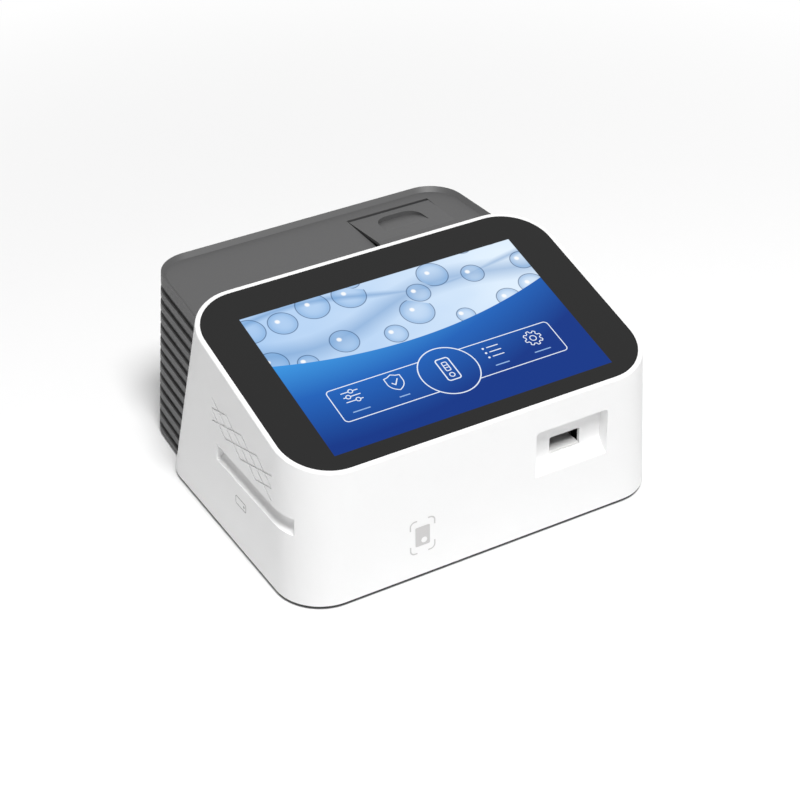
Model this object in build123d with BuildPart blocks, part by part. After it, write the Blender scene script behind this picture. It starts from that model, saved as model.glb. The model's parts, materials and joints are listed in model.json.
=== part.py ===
from build123d import *
from math import acos, atan, cos, degrees, hypot, pi, radians, sin, tan
import os

os.makedirs("parts", exist_ok=True)

# A bench-top reader for rapid test cassettes. The origin is under the middle of the whole reader, on the table.
# X runs to the reader's right, Y from its front to its back, Z up. Sizes are millimetres and degrees.

# Whole reader
overall_depth = 264.4
front_y = -overall_depth / 2
rear_y = overall_depth / 2
foot_height = 1.0
plate_thickness = 2.0
plate_inset = 0.6
screw_radius = 1.45
screw_clearance = 0.1

# White front shell and its glass
shell_width = 292.0
shell_depth = 216.1
shell_corner = 34.0
shell_wall = 2.5
screen_tilt = 13.72
screen_front_z = 106.0
screen_setback = 6.1
glass_width = 276.4
glass_height = 173.9
glass_corner = 35.0
glass_thickness = 1.8
glass_clearance = 0.15
rim_width = 3.6
rim_round = 1.0
gasket_thickness = 0.8
ledge_thickness = 2.2

# Display behind the glass
panel_width = 229.0
panel_height = 149.0
panel_thickness = 4.5
panel_middle_v = 80.2
panel_clearance = 1.0
frame_thickness = 1.2
frame_width = 252.0
frame_height = 146.0
frame_window = (88.0, 100.0)
display_screw_u = 121.0
display_screw_v = 40.0
ribbon_width = 24.0
ribbon_thickness = 0.4
ribbon_x = -60.0
ribbon_v = 66.0
ribbon_lie = 14.0
ribbon_bend = 6.0

# Cassette scoop and slot, in the leaning front
slot_x = 66.3
slot_width = 24.8
slot_bottom_z = 56.1
slot_top_z = 69.7
slot_corner = 1.0
scoop_width = 58.4
scoop_top_z = 84.2
scoop_bend_z = 62.0
scoop_bottom_z = 48.0
scoop_depth = 10.9
scoop_lip_depth = 1.0
scoop_corner = 3.0
scoop_blend = 4.0

# Card channel round the left front corner
channel_radius = 6.52
channel_stand_off = 0.5
channel_z = 62.35
channel_side_x = shell_width / 2 - 2.1
channel_rear_y = front_y + 121.1
channel_corner = 36.6
channel_turn_y = front_y + 38.1
channel_turn = 31.0

# Crossed vent grooves on the left side
groove_width = 1.3
groove_depth = 1.0
lattice_pitch = 21.8
lattice_fall = 3.1
lattice_upper = (front_y + 127.2, 104.3)
lattice_lower = (front_y + 129.2, 84.2)
lattice_rear_y = front_y + 126.6
lattice_front_y = front_y + 41.1
lattice_lines = 5

# Dark rear shell
rear_top_z = 132.8
rear_top_width = 243.3
rear_taper = 4.07
rear_draft = 4.5
rear_corner = 27.0
rear_wall = 2.5
rear_start_y = front_y + 166.1
shell_gap = 0.4
recess_depth = 3.3
rib_pitch = 10.29
rib_groove = 5.14
rib_depth = 2.0
rib_top_z = 124.58
rib_count = 12
rib_flat_half_width = 90.0
window_half_width = 118.0
window_bottom_z = 14.0
window_top_z = 122.0

# Ports at the back
port_pocket_width = 172.0
port_pocket_height = 34.0
port_pocket_bottom_z = 11.0
port_pocket_depth = 2.5
port_board_z = 14.0
board_thickness = 1.6
port_board_x = -27.5
port_board_width = 105.0
port_board_depth = 30.0
port_clearance = 0.3
usb_size = (13.2, 15.0, 6.0)
usb_x = (-70.0, -50.0)
network_size = (16.0, 21.0, 13.5)
network_x = -25.0
serial_size = (30.8, 14.0, 12.5)
serial_x = 5.0
inlet_x = 42.0
inlet_radius = 5.4
inlet_flange = 7.0
inlet_length = 15.0
inlet_bore = 3.2
inlet_pin = 1.0
switch_x = 68.0
switch_size = (13.0, 14.0, 19.0)
switch_flange = 1.0
rocker_half_length = 7.4
rocker_width = 10.2
rocker_tilt = 8.0
rocker_clearance = 0.3
rocker_pin = 1.0
rocker_pin_clearance = 0.05
inlet_z = 28.0

# Fan
fan_x = -60.0
fan_z = 90.0
fan_size = 60.0
fan_depth = 15.0
fan_bore = 28.0
fan_hub = 11.0
fan_blades = 7
fan_blade_tip = 26.0
fan_blade_chord = 13.0
fan_blade_pitch = 35.0
fan_blade_thickness = 1.2
fan_hole_spacing = 50.0
grille_slots = 8
grille_pitch = 6.4
grille_slot_width = 3.4

# Printer
lid_x = 66.0
lid_rear_width = 68.8
lid_front_width = 66.0
lid_rear_y = rear_y - 14.3
lid_front_y = rear_y - 71.7
lid_ridge_y = rear_y - 57.3
lid_rise = 3.0
lid_front_drop = 1.2
lid_thickness = 2.4
lid_gap = 0.5
hinge_radius = 3.4
hinge_pin_radius = 1.2
hinge_clearance = 0.05
thumb_width = 36.0
thumb_front_y = rear_y - 45.2
thumb_length = 22.0
thumb_corner = 11.5
thumb_depth = 5.0
thumb_wall = 1.6
cheek_inset = 1.2
cheek_thickness = 2.0
cheek_drop = 16.5
opening_front_y = rear_y - 77.6
bucket_wall = 2.0
bucket_clearance = 0.1
bucket_floor_z = 64.0
bucket_front_y = rear_y - 78.4
leg_size = 6.0
roll_radius = 24.0
roll_width = 57.0
roll_core = 6.0
roll_y = rear_y - 40.2
roll_clearance = 0.4
platen_y = rear_y - 68.2
platen_z = 120.5
platen_radius = 5.0
platen_length = 54.0
platen_x = 64.0
platen_shaft_radius = 1.5
bush_radius = 3.0
shaft_clearance = 0.05
feed_module = 0.7
feed_teeth = 18
feed_gear_x = 92.0
feed_gear_width = 3.5
feed_motor_radius = 10.0
feed_motor_length = 14.0
head_thickness = 1.5
head_height = 17.0
head_gap = 0.3
leaf_thickness = 0.4
tear_depth = 2.2
tear_height = 1.4
tear_teeth = 29

# Reader
reader_front_y = front_y + 20.2
reader_rear_y = front_y + 146.2
reader_half_width = 34.0
reader_wall = 4.0
reader_floor = 3.0
bridge_z = 80.0
bridge_thickness = 3.0
bridge_front_y = front_y + 72.2
bridge_wall = 3.0
carrier_width = 24.0
carrier_floor_z = 57.9
carrier_floor = 1.5
carrier_length = 75.0
carrier_rail = 2.5
carrier_rail_width = 1.4
carrier_rail_start = 13.0
carrier_travel = 50.0
slider_front_y = front_y + 32.2
slider_length = 40.0
slider_half_width = 27.0
slider_bottom_z = 45.0
slider_top_z = 55.0
rod_spread = 20.0
rod_radius = 2.5
rod_z = 50.0
rod_clearance = 0.04
rod_bush_radius = 4.0
rod_bush_length = 10.0
rack_module = 1.0
pinion_teeth = 18
rack_pitch_z = 40.0
rack_front_y = front_y + 26.2
rack_length = 60.0
rack_width = 8.0
pinion_y = front_y + 82.2
pinion_shaft_radius = 2.0
carrier_motor_size = 20.0
carrier_motor_length = 23.0
motor_bracket_x = 74.0
motor_bracket = 2.2
pressure_angle = 20.0
backlash = 0.12
optics_size = (30.0, 40.0, 12.0)
optics_y = front_y + 112.2
lens_radius = 6.0
lens_length = 2.0

# Main board and what stands on it
board_x = -62.0
board_y = front_y + 106.2
board_size = (112.0, 132.0)
standoff_height = 8.0
standoff_radius = 3.2
board_hole_inset = 6.0
chip_size = 30.0
chip_height = 2.2
sink_size = 34.0
sink_base = 3.0
sink_height = 14.0
sink_fins = 8
connector_height = 4.4
coin_radius = 10.0
coin_thickness = 3.2
card_board_x = -shell_width / 2 + 13.6
card_board_height = 77.0
card_board_length = 50.0
card_board_y = front_y + 87.2
antenna_size = (40.0, 24.0)
antenna_track = 6.0
antenna_corner = 4.0
antenna_thickness = 0.8
speaker_x = -90.0
speaker_y = front_y + 192.2
speaker_radius = 14.0
speaker_height = 6.0
foot_radius = 8.0
foot_stem = 3.0
boss_radius = 4.5
boss_height = 18.0

# Planes and levels that follow from those sizes
foot_z = foot_height + plate_thickness
tilt = radians(screen_tilt)
screen = Plane(origin=(0, front_y + screen_setback, screen_front_z), x_dir=(1, 0, 0), z_dir=(0, -sin(tilt), cos(tilt)))
shell_middle_y = front_y + shell_depth / 2
glass_middle_v = glass_height / 2
pocket_depth = glass_thickness + gasket_thickness
panel_back = glass_thickness + panel_thickness
recess_floor_z = rear_top_z - recess_depth
top_under_z = recess_floor_z - rear_wall
rear_wall_y = rear_y - rear_wall
pocket_y = rear_y - port_pocket_depth
pocket_wall_y = pocket_y - rear_wall
reader_x = slot_x


def shell_form(inset, drop=0.0):
    """The white shell's form, a ruled loft from its foot to just under the glass plane, inset all round."""
    with BuildPart() as form:
        with BuildSketch(Plane.XY.offset(foot_z)):
            with Locations((0, shell_middle_y)):
                RectangleRounded(shell_width - 2 * inset, shell_depth - 2 * inset, shell_corner - inset)
        with BuildSketch(screen.offset(-rim_round)):
            with Locations((0, glass_middle_v)):
                rim = rim_width - inset
                RectangleRounded(glass_width + 2 * rim, glass_height + 2 * rim, glass_corner + rim)
        loft(ruled=True)
        if drop:
            split(bisect_by=screen.offset(-drop), keep=Keep.BOTTOM)
    return form.part


def rear_outline(plane, inset, start_y=rear_start_y):
    """The dark shell's plan at one level: it narrows to the back and has two rounded rear corners."""
    z = plane.origin.Z
    back_half = rear_top_width / 2 + (rear_top_z - z) * tan(radians(rear_draft)) - inset
    back_y = rear_y - inset
    front_half = back_half + (back_y - start_y) * tan(radians(rear_taper))
    with BuildSketch(plane) as outline:
        with BuildLine():
            Polyline((-front_half, start_y), (front_half, start_y), (back_half, back_y), (-back_half, back_y), close=True)
        make_face()
        fillet(outline.vertices().group_by(Axis.Y)[-1], rear_corner - inset)
    return outline.sketch


def rear_form(inset, top_z, start_y=rear_start_y):
    """The dark shell's form from its foot to one level, inset all round."""
    with BuildPart() as form:
        add(rear_outline(Plane.XY.offset(foot_z), inset, start_y))
        add(rear_outline(Plane.XY.offset(top_z), inset, start_y))
        loft(ruled=True)
    return form.part


def cylinder_y(radius, start, end, x, z):
    """A round bar along Y, made outside any part."""
    with BuildPart() as bar:
        with BuildSketch(Plane.XZ.offset(-start)):
            with Locations((x, z)):
                Circle(radius)
        extrude(amount=start - end)
    return bar.part


def cylinder_x(radius, start, end, y, z):
    """A round bar along X, made outside any part."""
    with BuildPart() as bar:
        with BuildSketch(Plane.YZ.offset(start)):
            with Locations((y, z)):
                Circle(radius)
        extrude(amount=end - start)
    return bar.part


def block(x_range, y_range, z_range):
    """A block between three pairs of limits, made outside any part."""
    with BuildPart() as form:
        with BuildSketch(Plane.XY.offset(z_range[0])):
            with Locations(((x_range[0] + x_range[1]) / 2, (y_range[0] + y_range[1]) / 2)):
                Rectangle(x_range[1] - x_range[0], y_range[1] - y_range[0])
        extrude(amount=z_range[1] - z_range[0])
    return form.part


def about(middle, width):
    """The two limits of a width about a middle."""
    return (middle - width / 2, middle + width / 2)


def involute(angle):
    """Involute function of a pressure angle in radians."""
    return tan(angle) - angle


def gear_points(module, teeth, first=0.0, steps=5):
    """Outline of an involute gear, its first tooth so many pitches off the first axis, thinned by half the backlash."""
    pitch_radius = module * teeth / 2
    base_radius = pitch_radius * cos(radians(pressure_angle))
    root_radius = pitch_radius - 1.25 * module
    tip_radius = pitch_radius + module
    half_tooth = pi / (2 * teeth) - backlash / (2 * pitch_radius) + involute(radians(pressure_angle))
    flank = [(root_radius, half_tooth)]
    for step in range(steps + 1):
        radius = base_radius + (tip_radius - base_radius) * step / steps
        flank.append((radius, half_tooth - involute(acos(base_radius / radius))))
    points = []
    for tooth in range(teeth):
        middle = 2 * pi * (tooth + first) / teeth
        for radius, half in flank:
            points.append((radius * cos(middle - half), radius * sin(middle - half)))
        for radius, half in reversed(flank):
            points.append((radius * cos(middle + half), radius * sin(middle + half)))
    return points


# ---------------------------------------------------------------- white front shell

scoop_back_y = front_y + scoop_depth
outside_y = front_y - 5.0


def scoop_form(grow):
    """The scoop's hollow: a straight back that sweeps out to the front below, grown by a wall's thickness."""
    with BuildPart() as form:
        with BuildSketch(Plane.YZ.offset(slot_x - scoop_width / 2 - grow)):
            with BuildLine():
                top = Line((outside_y, scoop_top_z), (scoop_back_y, scoop_top_z))
                back = Line(top @ 1, (scoop_back_y, scoop_bend_z))
                lip_y = front_y + scoop_lip_depth
                sweep_out = TangentArc(back @ 1, (lip_y, scoop_bottom_z), tangent=back % 1)
                Polyline(sweep_out @ 1, (outside_y, scoop_bottom_z), top @ 0)
            make_face()
            if grow:
                offset(amount=grow)
        extrude(amount=scoop_width + 2 * grow)
        corners = form.edges().filter_by(Axis.Y).group_by(Axis.Z)[-1]
        fillet(corners, scoop_corner + grow)
    return form.part


def channel_form(radius, beyond=0.0):
    """The card channel's hollow: a round bar along the side that turns about the shell's corner, longer at both ends."""
    bar_x = -(channel_side_x + channel_stand_off)
    with BuildPart() as form:
        with BuildSketch(Plane.XZ.offset(-channel_turn_y)) as ring:
            with Locations((bar_x, channel_z)):
                Circle(radius)
        revolve(axis=Axis((-(channel_side_x - channel_corner), channel_turn_y, 0), (0, 0, 1)),
                revolution_arc=channel_turn + degrees(beyond / channel_corner))
        add(cylinder_y(radius, channel_turn_y, channel_rear_y + beyond, bar_x, channel_z))
    return form.part


def lattice_form():
    """The crossed vent grooves: lines between two rows of points, each joining a point to the next but one."""
    with BuildPart() as form:
        with BuildSketch(Plane.YZ.offset(-shell_width / 2 - 1)):
            for k in range(-1, lattice_lines + 1):
                for start, end in ((lattice_lower, lattice_upper), (lattice_upper, lattice_lower)):
                    y0, z0 = start[0] - k * lattice_pitch, start[1] - k * lattice_fall
                    y1, z1 = end[0] - (k + 2) * lattice_pitch, end[1] - (k + 2) * lattice_fall
                    with Locations(Location(((y0 + y1) / 2, (z0 + z1) / 2, 0), (0, 0, degrees(atan((z1 - z0) / (y1 - y0)))))):
                        Rectangle(hypot(y1 - y0, z1 - z0), groove_width)
            with Locations(((lattice_rear_y + lattice_front_y) / 2, lattice_upper[1])):
                Rectangle(lattice_rear_y - lattice_front_y, shell_width, mode=Mode.INTERSECT)
        extrude(amount=shell_width / 12)
        add(shell_form(groove_depth), mode=Mode.SUBTRACT)
    return form.part


shell_boss_places = [(side * (shell_width / 2 - 6), front_y + back) for side in (-1, 1) for back in (52.2, 162.2)]
rear_boss_places = [(-100, rear_y - 6), (100, rear_y - 6)]
display_screw_places = [(side * display_screw_u, panel_middle_v + end * display_screw_v)
                        for side in (-1, 1) for end in (-1, 1)]

with BuildPart() as rim_crown:
    with BuildSketch(screen.offset(-rim_round)):
        with Locations((0, glass_middle_v)):
            RectangleRounded(glass_width + 2 * rim_width, glass_height + 2 * rim_width, glass_corner + rim_width)
    extrude(amount=rim_round)
    top_edges = rim_crown.faces().sort_by(Axis((0, 0, 0), screen.z_dir))[-1].edges()
    fillet(top_edges, 0.95 * rim_round)

with BuildPart() as front_housing:
    add(shell_form(0))
    add(rim_crown.part)
    with BuildSketch(screen) as glass_pocket:
        with Locations((0, glass_middle_v)):
            RectangleRounded(glass_width + 2 * glass_clearance, glass_height + 2 * glass_clearance,
                             glass_corner + glass_clearance)
    extrude(amount=-pocket_depth, mode=Mode.SUBTRACT)
    add(shell_form(shell_wall, pocket_depth + ledge_thickness), mode=Mode.SUBTRACT)
    with BuildSketch(screen) as display_window:
        with Locations((0, panel_middle_v)):
            Rectangle(panel_width + 2 * panel_clearance, panel_height + 2 * panel_clearance)
    extrude(amount=-(pocket_depth + 2 * ledge_thickness), mode=Mode.SUBTRACT)
    add(block((-window_half_width, window_half_width), (shell_middle_y, rear_y), (window_bottom_z, window_top_z)),
        mode=Mode.SUBTRACT)
    inner_limit = shell_form(shell_wall / 2)
    add(scoop_form(shell_wall).intersect(inner_limit))
    add(channel_form(channel_radius + shell_wall, shell_wall).intersect(inner_limit))
    with BuildSketch(Plane.XY.offset(foot_z)):
        with Locations(*shell_boss_places):
            Circle(boss_radius)
    extrude(amount=boss_height)
    with BuildSketch(Plane.XY.offset(foot_z)):
        with Locations(*shell_boss_places):
            Circle(screw_radius + screw_clearance)
    extrude(amount=boss_height - plate_thickness, mode=Mode.SUBTRACT)
    with BuildSketch(screen.offset(-pocket_depth - ledge_thickness / 2)):
        with Locations(*display_screw_places):
            Circle(boss_radius - 0.5)
    extrude(amount=-(panel_back - pocket_depth - ledge_thickness / 2))
    with BuildSketch(screen.offset(-pocket_depth - screw_clearance)):
        with Locations(*display_screw_places):
            Circle(screw_radius + screw_clearance)
    extrude(amount=-(panel_back - pocket_depth), mode=Mode.SUBTRACT)
    add(scoop_form(0), mode=Mode.SUBTRACT)
    add(channel_form(channel_radius), mode=Mode.SUBTRACT)
    with BuildSketch(Plane.XZ.offset(-scoop_back_y + 1)):
        with Locations((slot_x, (slot_bottom_z + slot_top_z) / 2)):
            RectangleRounded(slot_width, slot_top_z - slot_bottom_z, slot_corner)
    extrude(amount=-(shell_wall + 2), mode=Mode.SUBTRACT)
    add(lattice_form(), mode=Mode.SUBTRACT)

front_housing.part.label = "front_housing"
export_step(front_housing.part, "parts/front_housing.step")

# ---------------------------------------------------------------- glass and display

with BuildPart() as cover_glass:
    with BuildSketch(screen):
        with Locations((0, glass_middle_v)):
            RectangleRounded(glass_width, glass_height, glass_corner)
    extrude(amount=-glass_thickness)

cover_glass.part.label = "cover_glass"
export_step(cover_glass.part, "parts/cover_glass.step")

with BuildPart() as display_gasket:
    with BuildSketch(screen.offset(-glass_thickness)):
        with Locations((0, glass_middle_v)):
            RectangleRounded(glass_width, glass_height, glass_corner)
        with Locations((0, panel_middle_v)):
            Rectangle(panel_width + 2 * panel_clearance, panel_height + 2 * panel_clearance, mode=Mode.SUBTRACT)
    extrude(amount=-gasket_thickness)

display_gasket.part.label = "display_gasket"
export_step(display_gasket.part, "parts/display_gasket.step")

with BuildPart() as display_panel:
    with BuildSketch(screen.offset(-glass_thickness)):
        with Locations((0, panel_middle_v)):
            Rectangle(panel_width, panel_height)
    extrude(amount=-panel_thickness)

display_panel.part.label = "display_panel"
export_step(display_panel.part, "parts/display_panel.step")

with BuildPart() as display_frame:
    with BuildSketch(screen.offset(-panel_back)):
        with Locations((0, panel_middle_v)):
            RectangleRounded(frame_width, frame_height, boss_radius)
        with Locations((0, panel_middle_v)):
            with GridLocations(frame_width / 2 - 2 * boss_radius, 0, 2, 1):
                RectangleRounded(frame_window[0], frame_window[1], boss_radius, mode=Mode.SUBTRACT)
        with Locations(*display_screw_places):
            Circle(screw_radius + screw_clearance, mode=Mode.SUBTRACT)
    extrude(amount=-frame_thickness)

display_frame.part.label = "display_frame"
export_step(display_frame.part, "parts/display_frame.step")

with BuildPart() as display_screws:
    with BuildSketch(screen.offset(-panel_back - frame_thickness)):
        with Locations(*display_screw_places):
            Circle(2 * screw_radius)
    extrude(amount=-screw_radius)
    with BuildSketch(screen.offset(-panel_back - frame_thickness)):
        with Locations(*display_screw_places):
            Circle(screw_radius)
    extrude(amount=panel_back + frame_thickness - pocket_depth - 2 * screw_clearance)

display_screws.part.label = "display_screws"
export_step(display_screws.part, "parts/display_screws.step")

# ---------------------------------------------------------------- dark rear shell

recess_form_top = Plane.XY.offset(rear_top_z)
recess_form_floor = Plane.XY.offset(recess_floor_z)
lid_opening_x = about(lid_x, lid_rear_width + 2 * lid_gap)
hinge_y = lid_rear_y - hinge_radius
hinge_z = recess_floor_z - hinge_radius
ear_thickness = 3.0
ear_top_z = recess_floor_z - 1.5
port_middle_z = port_pocket_bottom_z + port_pocket_height / 2
port_floor_z = port_board_z + board_thickness

with BuildPart() as top_recess:
    add(rear_outline(recess_form_floor, recess_depth + 0.3, rear_start_y - 5))
    add(rear_outline(recess_form_top, 0.3, rear_start_y - 5))
    loft(ruled=True)

with BuildPart() as side_grooves:
    for k in range(rib_count):
        with BuildSketch(Plane.XY.offset(rib_top_z - k * rib_pitch - rib_groove)):
            with Locations((0, rear_y / 2)):
                Rectangle(shell_width, rear_y)
        extrude(amount=rib_groove)
    add(rear_form(rib_depth, rear_top_z), mode=Mode.SUBTRACT)
    add(block((-rib_flat_half_width, rib_flat_half_width), (0, rear_y + 1), (0, rear_top_z)), mode=Mode.SUBTRACT)

with BuildPart() as rear_cavity:
    add(rear_form(rear_wall + rib_depth, top_under_z))
    add(shell_form(-(shell_gap + rear_wall)), mode=Mode.SUBTRACT)

usb_middle_z = port_floor_z + usb_size[2] / 2
network_middle_z = port_floor_z + network_size[2] / 2
serial_middle_z = port_floor_z + serial_size[2] / 2

with BuildPart() as rear_housing:
    add(rear_form(0, rear_top_z))
    add(shell_form(-shell_gap), mode=Mode.SUBTRACT)
    add(top_recess.part, mode=Mode.SUBTRACT)
    add(side_grooves.part, mode=Mode.SUBTRACT)
    add(rear_cavity.part, mode=Mode.SUBTRACT)
    add(block((-window_half_width, window_half_width), (0, roll_y), (window_bottom_z, top_under_z)),
        mode=Mode.SUBTRACT)
    add(block(lid_opening_x, (opening_front_y, lid_rear_y + lid_gap), (top_under_z - 1, rear_top_z)),
        mode=Mode.SUBTRACT)
    for side in (-1, 1):
        ear_x = lid_x + side * (lid_rear_width / 2 + lid_gap + ear_thickness / 2)
        add(block(about(ear_x, ear_thickness + 1), about(hinge_y, 4 * hinge_radius), (top_under_z - 1, ear_top_z + 0.3)),
            mode=Mode.SUBTRACT)
    add(block(about(0, port_pocket_width + 2 * rear_wall), (pocket_wall_y, rear_wall_y),
              about(port_middle_z, port_pocket_height + 2 * rear_wall)))
    add(block(about(0, port_pocket_width), (pocket_y, rear_y + 1), about(port_middle_z, port_pocket_height)),
        mode=Mode.SUBTRACT)
    with BuildSketch(Plane.XZ.offset(-pocket_wall_y + 1)):
        for x in usb_x:
            with Locations((x, usb_middle_z)):
                Rectangle(usb_size[0] + 2 * port_clearance, usb_size[2] + 2 * port_clearance)
        with Locations((network_x, network_middle_z)):
            Rectangle(network_size[0] + 2 * port_clearance, network_size[2] + 2 * port_clearance)
        with Locations((serial_x, serial_middle_z)):
            Rectangle(serial_size[0] + 2 * port_clearance, serial_size[2] + 2 * port_clearance)
        with Locations((inlet_x, inlet_z)):
            Circle(inlet_radius + port_clearance)
        with Locations((switch_x, inlet_z)):
            Rectangle(switch_size[0] + 2 * port_clearance, switch_size[2] + 2 * port_clearance)
    extrude(amount=-(rear_wall + 2), mode=Mode.SUBTRACT)
    with BuildSketch(Plane.XZ.offset(-rear_wall_y + 2 * rib_depth + 1)):
        with Locations((fan_x, fan_z)):
            with GridLocations(0, grille_pitch, 1, grille_slots):
                SlotOverall(fan_size - 2 * boss_radius, grille_slot_width)
    extrude(amount=-(rear_wall + 3 * rib_depth + 2), mode=Mode.SUBTRACT)
    with BuildSketch(Plane.XY.offset(foot_z)):
        with Locations(*rear_boss_places):
            Circle(boss_radius)
    extrude(amount=boss_height)
    with BuildSketch(Plane.XY.offset(foot_z)):
        with Locations(*rear_boss_places):
            Circle(screw_radius + screw_clearance)
    extrude(amount=boss_height - plate_thickness, mode=Mode.SUBTRACT)

rear_housing.part.label = "rear_housing"
export_step(rear_housing.part, "parts/rear_housing.step")

# ---------------------------------------------------------------- base plate, feet and housing screws

foot_places = [(x, y) for x in (-112, 112) for y in (-98, 100)]

with BuildPart() as base_plate:
    with BuildSketch(Plane.XY.offset(foot_height)) as plate_outline:
        with Locations((0, shell_middle_y)):
            RectangleRounded(shell_width - 2 * plate_inset, shell_depth - 2 * plate_inset, shell_corner - plate_inset)
        add(rear_outline(Plane.XY.offset(foot_z), plate_inset).moved(Location((0, 0, -foot_z))))
        with Locations(*shell_boss_places, *rear_boss_places):
            Circle(screw_radius + screw_clearance, mode=Mode.SUBTRACT)
        with Locations(*foot_places):
            Circle(foot_stem + screw_clearance, mode=Mode.SUBTRACT)
    extrude(amount=plate_thickness)

base_plate.part.label = "base_plate"
export_step(base_plate.part, "parts/base_plate.step")

with BuildPart() as rubber_feet:
    with BuildSketch():
        with Locations(*foot_places):
            Circle(foot_radius)
    extrude(amount=foot_height)
    with BuildSketch(Plane.XY.offset(foot_height)):
        with Locations(*foot_places):
            Circle(foot_stem)
    extrude(amount=plate_thickness)

rubber_feet.part.label = "rubber_feet"
export_step(rubber_feet.part, "parts/rubber_feet.step")

with BuildPart() as housing_screws:
    with BuildSketch(Plane.XY.offset(foot_height)):
        with Locations(*shell_boss_places, *rear_boss_places):
            Circle(2 * screw_radius)
    extrude(amount=-0.8 * foot_height)
    with BuildSketch(Plane.XY.offset(foot_height)):
        with Locations(*shell_boss_places, *rear_boss_places):
            Circle(screw_radius)
    extrude(amount=boss_height - plate_thickness)

housing_screws.part.label = "housing_screws"
export_step(housing_screws.part, "parts/housing_screws.step")

# ---------------------------------------------------------------- printer

bucket_x = about(lid_x, lid_rear_width + 2 * (lid_gap + bucket_clearance))
bucket_outer_x = (bucket_x[0] - bucket_wall, bucket_x[1] + bucket_wall)
bucket_rear_y = lid_rear_y + lid_gap + bucket_clearance
roll_z = bucket_floor_z + bucket_wall + roll_radius + roll_clearance
feed_radius = feed_module * feed_teeth / 2
feed_motor_z = platen_z - 2 * feed_radius
leaf_y = bucket_front_y + bucket_wall
bracket_y = leaf_y + leaf_thickness
head_y = platen_y - platen_radius - head_gap - head_thickness
head_bottom_z = platen_z - head_height / 2
print_width = about(platen_x, platen_length)

with BuildPart() as printer_frame:
    add(block(bucket_outer_x, (bucket_front_y, bucket_rear_y + bucket_wall), (bucket_floor_z, top_under_z)))
    add(block(bucket_x, (bucket_front_y + bucket_wall, bucket_rear_y), (bucket_floor_z + bucket_wall, top_under_z)),
        mode=Mode.SUBTRACT)
    leg_x = (bucket_outer_x[1] - bucket_outer_x[0]) - leg_size
    leg_y = (bucket_rear_y + bucket_wall - bucket_front_y) - 3 * leg_size
    with BuildSketch(Plane.XY.offset(foot_z)):
        with Locations((lid_x, (bucket_front_y + bucket_rear_y + bucket_wall) / 2 + leg_size / 2)):
            with GridLocations(leg_x, leg_y, 2, 2):
                Rectangle(leg_size, leg_size)
    extrude(amount=bucket_floor_z - foot_z)
    for x in (bucket_outer_x[0], bucket_x[1]):
        add(block((x, x + bucket_wall), about(hinge_y, 3 * hinge_radius), (top_under_z, ear_top_z)))
    add(cylinder_x(hinge_pin_radius + hinge_clearance, bucket_outer_x[0] - 1, bucket_outer_x[1] + 1, hinge_y, hinge_z),
        mode=Mode.SUBTRACT)
    add(cylinder_x(platen_shaft_radius + 4 * port_clearance, bucket_x[1] - 1, bucket_outer_x[1] + 1, platen_y,
                   feed_motor_z), mode=Mode.SUBTRACT)

printer_frame.part.label = "printer_frame"
export_step(printer_frame.part, "parts/printer_frame.step")

lid_slope = atan(lid_rise / (hinge_y - lid_ridge_y))
ridge_z = recess_floor_z + lid_rise
cheek_x = (lid_x - lid_front_width / 2 + cheek_inset, lid_x + lid_front_width / 2 - cheek_inset)
thumb_plane = Plane(origin=(lid_x, thumb_front_y, recess_floor_z + (hinge_y - thumb_front_y) * tan(lid_slope)),
                    x_dir=(1, 0, 0), z_dir=(0, thumb_depth, thumb_length))


def thumb_form(grow, height):
    """The thumb recess: a D outline on a ramp that falls to the back, carried up square to the ramp."""
    with BuildPart() as form:
        with BuildSketch(thumb_plane.offset(-grow)) as outline:
            with Locations((0, thumb_length / 2)):
                Rectangle(thumb_width + 2 * grow, thumb_length + 2 * grow)
            fillet(outline.vertices().group_by(Axis.Y)[-1], thumb_corner + grow)
        extrude(amount=height)
    return form.part


def lid_side_view(lower):
    """The lid's top in side view, lowered by a thickness: rear edge, rise to the ridge, fall to the front."""
    return [(hinge_y, recess_floor_z - lower), (lid_ridge_y, ridge_z - lower),
            (lid_front_y, ridge_z - lid_front_drop - lower)]


with BuildPart() as lid_plan:
    with BuildSketch(Plane.XY.offset(rear_top_z - 40)):
        with BuildLine():
            Polyline((lid_x - lid_front_width / 2, lid_front_y), (lid_x + lid_front_width / 2, lid_front_y),
                     (lid_x + lid_rear_width / 2, lid_rear_y), (lid_x - lid_rear_width / 2, lid_rear_y), close=True)
        make_face()
    extrude(amount=60)

with BuildPart() as lid_under_top:
    with BuildSketch(Plane.YZ.offset(lid_x - lid_rear_width / 2)):
        with BuildLine():
            Polyline(*lid_side_view(lid_thickness / 2), (lid_front_y, rear_top_z - 40), (hinge_y, rear_top_z - 40),
                     close=True)
        make_face()
    extrude(amount=lid_rear_width)

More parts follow.
